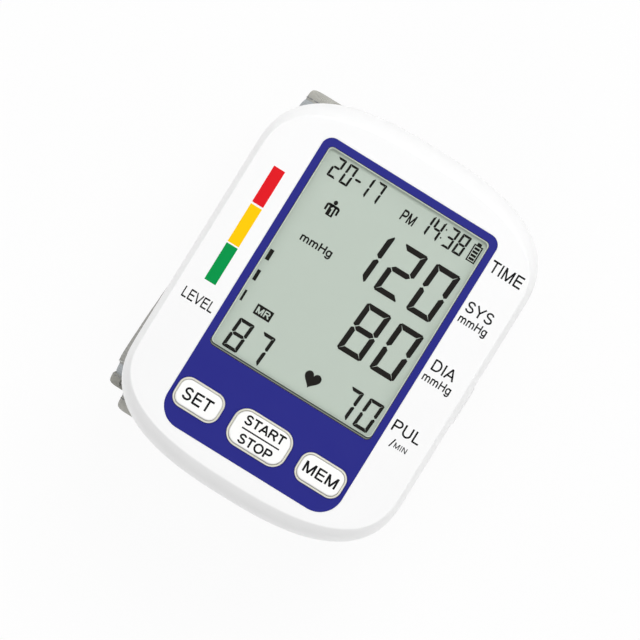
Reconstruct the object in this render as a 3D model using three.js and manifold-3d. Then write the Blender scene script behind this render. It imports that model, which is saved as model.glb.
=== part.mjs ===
// Wrist blood pressure monitor: a bowed display case that rides on a wrapped fabric cuff.
// Millimetres. +X is the display's right, +Y its top edge and +Z points out of the display.
// The origin lies on the flat stretch of strap that the monitor stands on, below the case's middle.
import * as THREE from 'three';
import { mergeVertices } from 'three/addons/utils/BufferGeometryUtils.js';
import Module from 'manifold-3d';

const wasm = await Module();
wasm.setup();

// Clearances
const seatGap = 0.3;
const slideGap = 0.25;
const overrun = 1;

// Cuff layers, from the outside in
const coverThickness = 0.8;
const coreThickness = 1;
const bladderThickness = 1.6;
const liningThickness = 0.8;

// Cuff loop, seen along the wrist
const openingHeight = 47.5;
const cuffSaddleRadius = 41.7;
const shoulderRadius = 10;
const cuffLeft = -29.9;
const strapRight = 30.5;
const strapBendRadius = 18;
const cuffStartX = 22;
const cuffEndZ = 22.5;
const tipDrop = 2;

// Cuff widths, along the wrist
const cuffEndMargin = 3.6;
const cuffShift = 0.5;
const strapStep = 6.3;
const strapShift = -1;
const cuffBinding = 3.2;
const strapBinding = 3.6;
const coreMargin = 2.5;
const hookMargin = 4;

// Case
const caseWidth = 67;
const caseLength = 87.2;
const sideBand = 1.3;
const endBand = 3.55;
const straightLength = 48;
const bowExponent = 2.63;
const edgeDrop = 9;
const edgeStart = THREE.MathUtils.degToRad(28);
const partingDrop = 12.3;
const skirtRim = 2.4;
const skirtRound = 11;
const skirtInset = 5;
const caseWall = 2;
const faceWall = 2.2;
const partingGap = 0.2;

// Front panel and display
const panelEndMargin = 4.95;
const panelX = 0.25;
const panelY = -1.1;
const panelTopRadius = 2.4;
const panelBottomRadius = 5.4;
const panelThickness = 1.2;
const windowWidth = 40.2;
const windowX = 0.3;
const windowSideFrame = 1.65;
const windowTopFrame = 1.7;
const windowBottomFrame = 19.1;
const windowRadius = 1.2;
const lensThickness = 1;
const lensMargin = 0.8;
const glassGap = 0.7;
const glassThickness = 2.2;
const glassMargin = 1.4;
const connectorHeight = 1.6;
const connectorWidth = 2;

// Buttons and switches
const buttonRowX = 0.2;
const buttonRowRise = 7.5;
const buttonSideFrame = 0.95;
const buttonPitch = 15.25;
const sideButtonWidth = 11.1;
const sideButtonLength = 6.9;
const sideButtonRadius = 2.5;
const startButtonWidth = 14.15;
const startButtonLength = 8.6;
const startButtonRadius = 3.1;
const buttonCrown = 0.8;
const buttonRound = 0.6;
const buttonFlange = 0.7;
const flangeThickness = 0.7;
const switchWidth = 6;
const switchHeight = 2.5;
const switchFloor = 0.4;
const plungerRadius = 1.2;
const plungerLength = 1.8;

// Circuit board
const boardWidth = 41;
const boardX = -1.5;
const boardThickness = 1.2;
const chipWidth = 10;
const chipHeight = 1.4;
const chipX = -4;
const chipY = 4;

// Screws
const screwSideInset = 16.5;
const screwEndInset = 6.6;
const bossRadius = 3;
const bossMeetDrop = 4;
const screwHeadRadius = 2;
const screwHeadHeight = 1.6;
const screwShankRadius = 0.9;
const screwLength = 12;
const screwSeatRise = 3.4;
const cuffScrewReach = 12;
const cuffScrewShare = 2 / 3;
const cuffScrewHeadRadius = 2.2;
const cuffScrewHeadHeight = 1.3;

// Batteries: two AAA cells side by side
const cellDiameter = 10.5;
const cellLength = 44.5;
const cellNubRadius = 1.9;
const cellNubHeight = 0.8;
const cellEdge = 0.6;
const cellSideRoom = 1.55;
const cellSpace = 0.8;
const contactRoom = 5.5;
const bayWall = 1.2;
const contactThickness = 0.4;
const contactHeight = 8;
const springCoilRadius = 2.6;
const springWire = 0.5;
const springTurns = 3;
const doorBottomRise = 3.5;
const doorTopDrop = 1.8;
const doorReach = 6.5;
const gripRidges = 4;
const gripPitch = 1.6;
const gripLength = 9;
const gripHeight = 0.7;
const gripRise = 0.35;

// Air pump, valve and air way
const motorDiameter = 15;
const motorLength = 22;
const motorSideRoom = 2.355;
const boardRoom = 1.74;
const shaftRadius = 1;
const shaftGap = 0.3;
const crankRadius = 3;
const crankThickness = 2;
const crankOffset = 0.8;
const pumpHeadLength = 14;
const pumpHeadWall = 1.6;
const diaphragmThickness = 1;
const diaphragmPlace = 8;
const outletReach = 3;
const tubeOuterRadius = 2.3;
const tubeInnerRadius = 1.5;
const nippleRadius = 1.2;
const airWayRadius = 0.5;
const airEndInset = 11.6;
const nippleFlangeRadius = 4;
const cuffNippleRadius = 1.7;
const cuffNippleEntry = 1.7;
const manifoldWidth = 12;
const manifoldLength = 10;
const manifoldHeight = 6;
const manifoldFloorGap = 0.9;
const airWayRise = 2.16;
const hoseX = -2.5;
const hoseRun = 9.9;
const hoseBendShare = 0.53;
const valveShift = -3;
const valveWidth = 10;
const valveLength = 9;
const valveHeight = 9;
const valveGap = 2;
const valveTravel = 0.9;
const valvePlungerRadius = 1.5;
const valvePlungerHold = 6.5;
const sensorX = 2;
const sensorWidth = 8;
const sensorHeight = 3;
const portReach = 1.1;

// Levels and sizes that follow
const strapThickness = coverThickness + coreThickness + liningThickness + 2 * seatGap;
const cuffThickness = strapThickness + bladderThickness + seatGap;
const strapLeft = cuffLeft - seatGap - strapThickness;
const cuffCrownZ = strapThickness + openingHeight + cuffThickness;
const saddleCentreZ = cuffCrownZ - cuffSaddleRadius;
const caseSaddleRadius = cuffSaddleRadius + seatGap;
const floorRadius = caseSaddleRadius + caseWall;
const floorCrownZ = saddleCentreZ + floorRadius;
const saddleZ = (radius, x) => saddleCentreZ + Math.sqrt(radius ** 2 - x ** 2);
const caseBottomZ = saddleZ(caseSaddleRadius, caseWidth / 2 - skirtInset - skirtRim);
const tipTopZ = caseBottomZ - tipDrop;
const manifoldUnderZ = floorCrownZ + manifoldFloorGap;
const manifoldTopZ = manifoldUnderZ + manifoldHeight;
const motorRadius = motorDiameter / 2;
const motorOrbit = floorRadius + seatGap + motorRadius;
const motorX = caseWall + motorSideRoom + motorRadius - caseWidth / 2;
const motorZ = Math.max(manifoldUnderZ + airWayRise, saddleZ(motorOrbit, motorX));
const boardUnderZ = Math.max(
  motorZ + motorRadius + boardRoom,
  manifoldTopZ + 2 * portReach + sensorHeight);
const boardTopZ = boardUnderZ + boardThickness;
const glassUnderZ = boardTopZ + connectorHeight;
const glassTopZ = glassUnderZ + glassThickness;
const lensUnderZ = glassTopZ + glassGap;
const panelUnderZ = lensUnderZ + lensThickness;
const faceZ = panelUnderZ + panelThickness;
const faceUnderZ = faceZ - faceWall;
const partingZ = faceZ - partingDrop;
const bossMeetZ = partingZ - bossMeetDrop;
const flangeTopZ = faceUnderZ - seatGap;
const flangeUnderZ = flangeTopZ - flangeThickness;
const plungerTopZ = flangeUnderZ - seatGap;
const cellRadius = cellDiameter / 2;
const cellOrbit = floorRadius + seatGap + cellRadius;
const cellStep = 2 * Math.asin((cellDiameter + cellSpace) / (2 * cellOrbit));
const outerCellX = caseWidth / 2 - caseWall - cellSideRoom - cellRadius;
const bayLength = cellLength + contactRoom;
const doorLength = bayLength - 2 * slideGap;
const doorInnerX = caseWidth / 2 - doorReach;
const faceWidth = caseWidth - 2 * sideBand;
const faceLength = caseLength - 2 * endBand;
const buttonRowWidth = 2 * buttonPitch + sideButtonWidth;
const panelWidth = Math.max(windowWidth + 2 * windowSideFrame, buttonRowWidth + 2 * buttonSideFrame);
const panelLength = faceLength - 2 * panelEndMargin;
const windowLength = panelLength - windowTopFrame - windowBottomFrame;
const windowY = panelY + (windowBottomFrame - windowTopFrame) / 2;
const buttonRowY = panelY - panelLength / 2 + buttonRowRise;
const screwX = caseWidth / 2 - screwSideInset;
const screwY = caseLength / 2 - screwEndInset;
const cuffWidth = caseLength - 2 * cuffEndMargin;
const strapWidth = cuffWidth - 2 * strapStep;
const airY = caseLength / 2 - airEndInset;

// Facets
const endSteps = 16;
const edgeSteps = 4;
const roundSteps = 16;
const smallSteps = 12;
const saddleSteps = 96;
const cornerSteps = 3;
const bandStepAngle = THREE.MathUtils.degToRad(9);
const hoseSteps = 14;
const hoseSides = 8;
const coilSteps = 8;
const coilSides = 5;

function material(color, roughness, metalness = 0) {
  return new THREE.MeshStandardMaterial({ color, roughness, metalness });
}

const whitePlastic = material('#f4f4f2', 0.35);
const bluePanel = material('#2e3089', 0.25);
const clearPlastic = material('#dfe8e4', 0.08);
const displayGreen = material('#c2cdc2', 0.4);
const buttonWhite = material('#f6f5f0', 0.45);
const boardGreen = material('#1f6b43', 0.6);
const blackPlastic = material('#1c1c1e', 0.5);
const greyRubber = material('#8b8d8f', 0.8);
const steel = material('#b9bcc0', 0.3, 0.9);
const cellJacket = material('#3d5a70', 0.4, 0.3);
const milkySilicone = material('#e4e2da', 0.6);
const loopFabric = material('#aaaaa3', 0.95);
const liningFabric = material('#a3acb2', 0.95);
const bindingFabric = material('#9c9d97', 0.95);
const hookFabric = material('#8f918f', 0.9);
const corePlastic = material('#d8d8d4', 0.5);
const bladderFilm = material('#6e7276', 0.5);

// A closed geometry with shared corners merged and no triangle without an area
function closed(geometry) {
  const bare = geometry.clone();
  bare.deleteAttribute('normal');
  bare.deleteAttribute('uv');
  const merged = mergeVertices(bare);
  const corners = merged.index.array;
  const kept = [];
  for (let i = 0; i < corners.length; i += 3) {
    const [a, b, c] = [corners[i], corners[i + 1], corners[i + 2]];
    if (a !== b && b !== c && c !== a) {
      kept.push(a, b, c);
    }
  }
  merged.setIndex(kept);
  return merged;
}

function toSolid(geometry) {
  const merged = closed(geometry);
  const vertProperties = new Float32Array(merged.attributes.position.array);
  const triVerts = new Uint32Array(merged.index.array);
  return new wasm.Manifold(new wasm.Mesh({ numProp: 3, vertProperties, triVerts }));
}

function toGeometry(solid) {
  const { vertProperties, triVerts } = solid.getMesh();
  const geometry = new THREE.BufferGeometry();
  geometry.setAttribute('position', new THREE.BufferAttribute(vertProperties, 3));
  geometry.setIndex(new THREE.BufferAttribute(triVerts, 1));
  return geometry;
}

function cut(geometry, ...tools) {
  return toGeometry(tools.reduce((solid, tool) => solid.subtract(toSolid(tool)), toSolid(geometry)));
}

function join(geometry, ...others) {
  return toGeometry(others.reduce((solid, other) => solid.add(toSolid(other)), toSolid(geometry)));
}

function common(geometry, ...others) {
  return toGeometry(others.reduce((solid, other) => solid.intersect(toSolid(other)), toSolid(geometry)));
}

// A box between two corners
function block(low, high) {
  const size = high.map((value, i) => value - low[i]);
  const middle = high.map((value, i) => (value + low[i]) / 2);
  return new THREE.BoxGeometry(...size).translate(...middle);
}

// A round piece along +Z from a list of radius and height pairs
function turned(profile, steps = smallSteps) {
  const points = profile.map(([radius, height]) => new THREE.Vector2(radius, height));
  return new THREE.LatheGeometry(points, steps).rotateX(Math.PI / 2);
}

function rod(radius, low, high, steps = smallSteps) {
  return turned([[0, low], [radius, low], [radius, high], [0, high]], steps);
}

function sleeve(outer, inner, low, high, steps = smallSteps) {
  return turned([[inner, low], [outer, low], [outer, high], [inner, high], [inner, low]], steps);
}

// A rounded rectangle about its centre; top and bottom corners may differ
function roundedRectangle(width, length, topRadius, bottomRadius = topRadius) {
  const right = width / 2;
  const top = length / 2;
  const quarter = Math.PI / 2;
  const shape = new THREE.Shape();
  shape.moveTo(right, bottomRadius - top);
  shape.absarc(right - topRadius, top - topRadius, topRadius, 0, quarter);
  shape.absarc(topRadius - right, top - topRadius, topRadius, quarter, 2 * quarter);
  shape.absarc(bottomRadius - right, bottomRadius - top, bottomRadius, 2 * quarter, 3 * quarter);
  shape.absarc(right - bottomRadius, bottomRadius - top, bottomRadius, 3 * quarter, 4 * quarter);
  return shape;
}

function plate(shape, low, high) {
  const options = { depth: high - low, bevelEnabled: false, curveSegments: cornerSteps };
  return new THREE.ExtrudeGeometry(shape, options).translate(0, 0, low);
}

// A solid through outlines of equal point count, each at its own height
function loft(sections) {
  const count = sections[0].points.length;
  const vertices = sections.flatMap(({ points, z }) => points.flatMap((point) => [point.x, point.y, z]));
  const faces = [];
  for (let level = 0; level + 1 < sections.length; level += 1) {
    for (let i = 0; i < count; i += 1) {
      const a = level * count + i;
      const b = level * count + (i + 1) % count;
      faces.push(a, b, b + count, a, b + count, a + count);
    }
  }
  const last = (sections.length - 1) * count;
  for (const [a, b, c] of THREE.ShapeUtils.triangulateShape(sections[0].points, [])) {
    faces.push(a, c, b);
  }
  for (const [a, b, c] of THREE.ShapeUtils.triangulateShape(sections.at(-1).points, [])) {
    faces.push(last + a, last + b, last + c);
  }
  const geometry = new THREE.BufferGeometry();
  geometry.setAttribute('position', new THREE.Float32BufferAttribute(vertices, 3));
  geometry.setIndex(faces);
  return geometry;
}

function named(name, geometry, look, place = [0, 0, 0]) {
  const mesh = new THREE.Mesh(closed(geometry), look);
  mesh.name = name;
  mesh.position.set(...place);
  return mesh;
}

// The case's plan: straight sides with ends bowed as a superellipse
function bowedOutline(width, length) {
  const straight = straightLength / 2;
  const bow = length / 2 - straight;
  const power = 2 / bowExponent;
  const points = [];
  for (const side of [1, -1]) {
    for (let step = 0; step <= endSteps; step += 1) {
      const angle = Math.PI * step / endSteps;
      const across = Math.sign(Math.cos(angle)) * Math.abs(Math.cos(angle)) ** power;
      const along = Math.abs(Math.sin(angle)) ** power;
      points.push(new THREE.Vector2(side * across * width / 2, side * (straight + bow * along)));
    }
  }
  return points;
}

// The case's body, grown inwards by inset: rounded skirt below, convex edge up to the face
function caseBody(inset, bottomZ, topZ) {
  const sections = [];
  for (let step = 0; step <= edgeSteps; step += 1) {
    const angle = (Math.PI / 2) * step / edgeSteps;
    const drawn = 2 * (skirtInset * (1 - Math.sin(angle)) + inset);
    const z = bottomZ + skirtRound * (1 - Math.cos(angle));
    sections.push({ points: bowedOutline(caseWidth - drawn, caseLength - drawn), z });
  }
  for (let step = edgeSteps; step >= 0; step -= 1) {
    const angle = edgeStart + (Math.PI / 2 - edgeStart) * step / edgeSteps;
    const full = (Math.sin(angle) - Math.sin(edgeStart)) / (1 - Math.sin(edgeStart));
    const width = THREE.MathUtils.lerp(faceWidth, caseWidth, full) - 2 * inset;
    const length = THREE.MathUtils.lerp(faceLength, caseLength, full) - 2 * inset;
    const z = topZ - edgeDrop * (1 - Math.cos(angle) / Math.cos(edgeStart));
    sections.push({ points: bowedOutline(width, length), z });
  }
  return loft(sections);
}

// The wrist's side of the case: a wide cylinder along the wrist
function saddleCylinder(radius) {
  const cylinder = new THREE.CylinderGeometry(radius, radius, caseLength + 2 * overrun, saddleSteps);
  return cylinder.translate(0, 0, saddleCentreZ);
}

function slab(low, high) {
  return block([-caseWidth, -caseLength, low], [caseWidth, caseLength, high]);
}

const screwPlaces = [[1, 1], [-1, 1], [-1, -1], [1, -1]].map(([i, j]) => [i * screwX, j * screwY]);
const screwSeatZ = saddleZ(caseSaddleRadius, screwX) + screwSeatRise;

function at(geometry, [x, y], z = 0) {
  return geometry.clone().translate(x, y, z);
}

const caseOutside = cut(caseBody(0, caseBottomZ, faceZ), saddleCylinder(caseSaddleRadius));
const caseInside = cut(caseBody(caseWall, caseBottomZ + caseWall, faceUnderZ), saddleCylinder(floorRadius));

// The window's lens and the buttons pass through the same openings in panel and case
const buttons = [
  { name: 'set', place: -1, size: [sideButtonWidth, sideButtonLength, sideButtonRadius] },
  { name: 'start_stop', place: 0, size: [startButtonWidth, startButtonLength, startButtonRadius] },
  { name: 'memory', place: 1, size: [sideButtonWidth, sideButtonLength, sideButtonRadius] },
];
const buttonX = (button) => buttonRowX + button.place * buttonPitch;

function buttonHole(button) {
  const [width, length, radius] = button.size;
  const shape = roundedRectangle(width + 2 * slideGap, length + 2 * slideGap, radius + slideGap);
  return plate(shape, faceUnderZ - overrun, faceZ + overrun).translate(buttonX(button), buttonRowY, 0);
}

const lensWidth = windowWidth + 2 * lensMargin;
const lensLength = windowLength + 2 * lensMargin;

function caseTop() {
  const shell = common(cut(caseOutside, caseInside), slab(partingZ + partingGap / 2, faceZ + overrun));
  const boss = rod(bossRadius, bossMeetZ, panelUnderZ - seatGap);
  const boreRadius = screwShankRadius + slideGap;
  const bore = rod(boreRadius, bossMeetZ - overrun, screwSeatZ + screwHeadHeight + screwLength);
  const recess = plate(
    roundedRectangle(panelWidth + 2 * seatGap, panelLength + 2 * seatGap, panelTopRadius, panelBottomRadius),
    panelUnderZ, faceZ + overrun).translate(panelX, panelY, 0);
  const lensOpening = plate(
    roundedRectangle(lensWidth + 2 * seatGap, lensLength + 2 * seatGap, windowRadius),
    faceUnderZ - overrun, faceZ + overrun).translate(windowX, windowY, 0);
  const withBosses = join(shell, ...screwPlaces.map((place) => at(boss, place)));
  const bores = screwPlaces.map((place) => at(bore, place));
  return cut(withBosses, ...bores, recess, lensOpening, ...buttons.map(buttonHole));
}

// Battery places on an arc about the saddle's centre
function orbit(angle, radius) {
  return [radius * Math.sin(angle), saddleCentreZ + radius * Math.cos(angle)];
}

const outerCellAngle = Math.asin(outerCellX / cellOrbit);
const cellPlaces = [outerCellAngle - cellStep, outerCellAngle].map((angle) => orbit(angle, cellOrbit));
const bayLeft = cellPlaces[0][0] - cellRadius - cellSpace - bayWall;
const cuffScrewX = THREE.MathUtils.lerp(motorX + motorRadius, bayLeft, cuffScrewShare);
const cuffScrewPlaces = [[cuffScrewX, -cuffScrewReach], [cuffScrewX, cuffScrewReach]];
const bayTop = partingZ - partingGap / 2 - seatGap;
const doorLowZ = caseBottomZ + doorBottomRise;
const doorHighZ = partingZ - doorTopDrop;

function doorBlock(gap) {
  return block(
    [doorInnerX, gap - doorLength / 2, doorLowZ + gap],
    [caseWidth, doorLength / 2 - gap, doorHighZ - gap]);
}

function caseBottom() {
  const shell = cut(caseOutside, caseInside);
  const reach = bayLength / 2;
  const walls = [
    block([bayLeft, reach, caseBottomZ], [caseWidth, reach + bayWall, bayTop]),
    block([bayLeft, -reach - bayWall, caseBottomZ], [caseWidth, -reach, bayTop]),
    block([bayLeft, -reach - bayWall / 2, caseBottomZ], [bayLeft + bayWall, reach + bayWall / 2, bayTop]),
  ];
  const boss = rod(bossRadius, caseBottomZ, bossMeetZ - seatGap);
  const inner = [...walls, ...screwPlaces.map((place) => at(boss, place))];
  const ribbed = join(shell, ...inner.map((rib) => common(rib, caseOutside)));
  const halved = common(ribbed, slab(caseBottomZ - overrun, partingZ - partingGap / 2));
  const headPocket = rod(screwHeadRadius + seatGap, caseBottomZ - overrun, screwSeatZ + screwHeadHeight);
  const shankHole = rod(screwShankRadius + seatGap, caseBottomZ, bossMeetZ + overrun);
  const holes = screwPlaces.flatMap((place) => [at(headPocket, place), at(shankHole, place)]);
  const cuffHole = rod(screwShankRadius + seatGap, caseBottomZ, faceZ);
  const airHole = at(rod(cuffNippleRadius + seatGap, caseBottomZ, faceZ), [0, airY]);
  const cuffHoles = cuffScrewPlaces.map((place) => at(cuffHole, place));
  return cut(halved, ...holes, ...cuffHoles, airHole, doorBlock(0));
}

// The battery door is cut from the same wall, with grip ridges on its outside
function batteryDoor() {
  const wall = common(cut(caseOutside, caseInside), doorBlock(slideGap));
  const middleZ = (doorLowZ + doorHighZ) / 2;
  const ridges = [];
  for (let i = 0; i < gripRidges; i += 1) {
    const z = middleZ + (i - (gripRidges - 1) / 2) * gripPitch;
    ridges.push(block(
      [caseWidth / 2 - caseWall / 2, -gripLength / 2, z - gripHeight / 2],
      [caseWidth / 2 + gripRise, gripLength / 2, z + gripHeight / 2]));
  }
  return join(wall, ...ridges);
}

function screw(headRadius, headHeight, shankRadius, length) {
  return turned([[0, -headHeight], [headRadius, -headHeight], [headRadius, 0], [shankRadius, 0],
    [shankRadius, length], [0, length]]);
}

function addCase(group) {
  group.add(named('case_top', caseTop(), whitePlastic));
  group.add(named('case_bottom', caseBottom(), whitePlastic));
  group.add(named('battery_door', batteryDoor(), whitePlastic));
  const caseScrew = screw(screwHeadRadius, screwHeadHeight, screwShankRadius, screwLength);
  const headTopZ = screwSeatZ + screwHeadHeight - seatGap;
  screwPlaces.forEach(([x, y], i) => {
    group.add(named(`case_screw_${i + 1}`, caseScrew, steel, [x, y, headTopZ]));
  });
}

// Front: printed panel, lens, display glass and the rubber strip that joins it to the board
function addDisplay(group) {
  const frame = roundedRectangle(panelWidth, panelLength, panelTopRadius, panelBottomRadius);
  const panel = plate(frame, panelUnderZ + seatGap / 2, faceZ).translate(panelX, panelY, 0);
  const window = roundedRectangle(windowWidth, windowLength, windowRadius);
  const opening = plate(window, faceUnderZ, faceZ + overrun);
  const cutPanel = cut(panel, opening.translate(windowX, windowY, 0), ...buttons.map(buttonHole));
  group.add(named('front_panel', cutPanel, bluePanel));

  const lens = plate(roundedRectangle(lensWidth, lensLength, windowRadius), lensUnderZ, panelUnderZ);
  group.add(named('display_lens', lens, clearPlastic, [windowX, windowY, 0]));

  const glassWidth = windowWidth + 2 * glassMargin;
  const glassLength = windowLength + 2 * glassMargin;
  const glass = plate(roundedRectangle(glassWidth, glassLength, windowRadius), glassUnderZ, glassTopZ);
  group.add(named('display_glass', glass, displayGreen, [windowX, windowY, 0]));

  const reach = boardWidth / 2 - connectorWidth;
  const middle = windowY - glassLength / 2 + connectorWidth;
  const connector = block(
    [boardX - reach, middle - connectorWidth / 2, boardTopZ],
    [boardX + reach, middle + connectorWidth / 2, glassUnderZ]);
  group.add(named('display_connector', connector, greyRubber));
}

// A button's outline drawn in by inset, with the same points at every height
function buttonOutline(button, inset) {
  const [width, length, radius] = button.size;
  const shape = roundedRectangle(width - 2 * inset, length - 2 * inset, radius - inset);
  return shape.extractPoints(cornerSteps).shape;
}

function buttonCap(button) {
  const crownZ = faceZ + buttonCrown;
  const sections = [
    { points: buttonOutline(button, -buttonFlange), z: flangeUnderZ },
    { points: buttonOutline(button, -buttonFlange), z: flangeTopZ },
    { points: buttonOutline(button, 0), z: flangeTopZ },
  ];
  for (let step = 0; step <= edgeSteps; step += 1) {
    const angle = (Math.PI / 2) * step / edgeSteps;
    const inset = buttonRound * (1 - Math.cos(angle));
    sections.push({ points: buttonOutline(button, inset), z: crownZ - buttonRound * (1 - Math.sin(angle)) });
  }
  return loft(sections);
}

function addButtons(group) {
  const half = switchWidth / 2;
  const body = block([-half, -half, boardTopZ], [half, half, boardTopZ + switchHeight]);
  const well = rod(plungerRadius + seatGap, boardTopZ + switchFloor, boardTopZ + switchHeight + overrun);
  const switchBody = cut(body, well);
  const plunger = rod(plungerRadius, plungerTopZ - plungerLength, plungerTopZ);
  for (const button of buttons) {
    const place = [buttonX(button), buttonRowY, 0];
    group.add(named(`${button.name}_button`, buttonCap(button), buttonWhite, place));
    group.add(named(`${button.name}_switch`, switchBody, blackPlastic, place));
    group.add(named(`${button.name}_plunger`, plunger, blackPlastic, place));
  }
}

// A round piece along +Y
function turnedAlong(profile, steps = roundSteps) {
  return new THREE.LatheGeometry(profile.map(([radius, y]) => new THREE.Vector2(radius, y)), steps);
}

class Coil extends THREE.Curve {
  constructor(radius, length, turns) {
    super();
    Object.assign(this, { radius, length, turns });
  }

  getPoint(t, target = new THREE.Vector3()) {
    const angle = 2 * Math.PI * this.turns * t;
    return target.set(this.radius * Math.cos(angle), this.length * t, this.radius * Math.sin(angle));
  }
}

function wireSection(radius, sides, hole = 0) {
  const ring = (size) => Array.from({ length: sides }, (_, i) => {
    const angle = 2 * Math.PI * i / sides;
    return new THREE.Vector2(size * Math.cos(angle), size * Math.sin(angle));
  });
  const shape = new THREE.Shape(ring(radius));
  if (hole) {
    shape.holes.push(new THREE.Path(ring(hole)));
  }
  return shape;
}

function addBatteries(group) {
  const body = cellLength - cellNubHeight;
  const cell = turnedAlong([[0, 0], [cellRadius - cellEdge, 0], [cellRadius, cellEdge],
    [cellRadius, body - cellEdge], [cellRadius - cellEdge, body], [cellNubRadius, body],
    [cellNubRadius, cellLength], [0, cellLength]]);
  const plateInner = bayLength / 2 - contactThickness;
  const cellStart = plateInner - seatGap - cellLength;
  const coilLength = plateInner + cellStart - 2 * seatGap - springWire;
  const coilStart = seatGap + springWire / 2 - plateInner;
  const coil = new THREE.ExtrudeGeometry(wireSection(springWire / 2, coilSides), {
    steps: springTurns * coilSteps,
    extrudePath: new Coil(springCoilRadius, coilLength, springTurns),
  });
  const pad = (x, z) => block(
    [x - contactHeight / 2, plateInner, z - contactHeight / 2],
    [x + contactHeight / 2, bayLength / 2, z + contactHeight / 2]);

  const [[firstX, firstZ], [secondX, secondZ]] = cellPlaces;
  const middleZ = (firstZ + secondZ) / 2;
  const bar = block(
    [firstX, plateInner, middleZ - cellNubRadius],
    [secondX, bayLength / 2, middleZ + cellNubRadius]);
  group.add(named('contact_link', join(pad(firstX, firstZ), pad(secondX, secondZ), bar), steel));

  cellPlaces.forEach(([x, z], i) => {
    const cellGroup = new THREE.Group();
    cellGroup.position.set(x, 0, z);
    cellGroup.rotation.z = i * Math.PI;
    cellGroup.add(named(`battery_${i + 1}`, cell, cellJacket, [0, cellStart, 0]));
    cellGroup.add(named(`battery_spring_${i + 1}`, coil, steel, [0, coilStart, 0]));
    group.add(cellGroup);
  });
  cellPlaces.forEach(([x, z], i) => {
    const contact = pad(x, z).translate(0, contactThickness - bayLength, 0);
    group.add(named(`contact_plate_${i + 1}`, contact, steel));
  });
}

const manifoldStartY = airY - manifoldLength / 2;
const outletY = manifoldStartY - hoseRun;
const headStartY = outletY - pumpHeadLength + 2 * pumpHeadWall;
const motorStartY = headStartY - seatGap - motorLength;
const valveY = airY + valveShift;

// Plain round rods along +Y and along +X
function rodAlong(radius, low, high, steps = roundSteps) {
  return turnedAlong([[0, low], [radius, low], [radius, high], [0, high]], steps);
}

function rodAcross(radius, low, high) {
  return rodAlong(radius, low, high, smallSteps).rotateZ(-Math.PI / 2);
}

function addPump(group) {
  const can = turnedAlong([[shaftRadius + shaftGap, 0], [motorRadius, 0], [motorRadius, motorLength],
    [shaftRadius + shaftGap, motorLength], [shaftRadius + shaftGap, 0]]);
  group.add(named('pump_motor', can, steel, [motorX, motorStartY, motorZ]));

  const shaftEnd = motorLength + seatGap + 2 * crankThickness;
  const disc = rodAlong(crankRadius, shaftEnd - crankThickness, shaftEnd).translate(crankOffset, 0, 0);
  const crank = join(rodAlong(shaftRadius, 0, shaftEnd), disc);
  group.add(named('pump_crank', crank, steel, [motorX, motorStartY, motorZ]));

  const chamber = motorRadius - pumpHeadWall;
  const headEnd = pumpHeadLength - pumpHeadWall;
  const cup = turnedAlong([[chamber, 0], [motorRadius, 0], [motorRadius, pumpHeadLength],
    [0, pumpHeadLength], [0, headEnd], [chamber, headEnd], [chamber, 0]]);
  const place = [0, outletY - headStartY];
  const outlet = at(rodAcross(nippleRadius, chamber + pumpHeadWall / 2, motorRadius + outletReach), place);
  const airWay = at(rodAcross(airWayRadius, 0, motorRadius + outletReach + overrun), place);
  const head = cut(join(cup, outlet), airWay);
  group.add(named('pump_head', head, blackPlastic, [motorX, headStartY, motorZ]));

  const diaphragm = rodAlong(chamber - seatGap, diaphragmPlace, diaphragmPlace + diaphragmThickness);
  group.add(named('pump_diaphragm', diaphragm, greyRubber, [motorX, headStartY, motorZ]));
}

// Block that joins pump, valve, sensor and cuff, with a stub for each tube
function manifold() {
  const half = manifoldWidth / 2;
  const body = block(
    [-half, manifoldStartY, manifoldUnderZ],
    [half, manifoldStartY + manifoldLength, manifoldTopZ]);
  const hosePlace = [hoseX, manifoldStartY];
  const stub = at(rodAlong(nippleRadius, -outletReach, overrun, smallSteps), hosePlace, motorZ);
  const riser = rod(nippleRadius, manifoldTopZ - overrun, manifoldTopZ + portReach - seatGap);
  const solid = join(body, stub, at(riser, [sensorX, valveY]));

  const feed = rodAlong(airWayRadius, -outletReach - overrun, manifoldLength / 2, smallSteps);
  const port = rodAcross(airWayRadius, -half - overrun, 0);
  const socketTopZ = manifoldUnderZ + cuffNippleEntry + seatGap;
  const socket = rod(cuffNippleRadius + seatGap, manifoldUnderZ - overrun, socketTopZ);
  const sensorWay = rod(airWayRadius, motorZ, manifoldTopZ + portReach);
  return cut(solid, at(feed, hosePlace, motorZ), at(port, [0, valveY], motorZ),
    at(socket, [0, airY]), at(sensorWay, [sensorX, valveY]));
}

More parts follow.
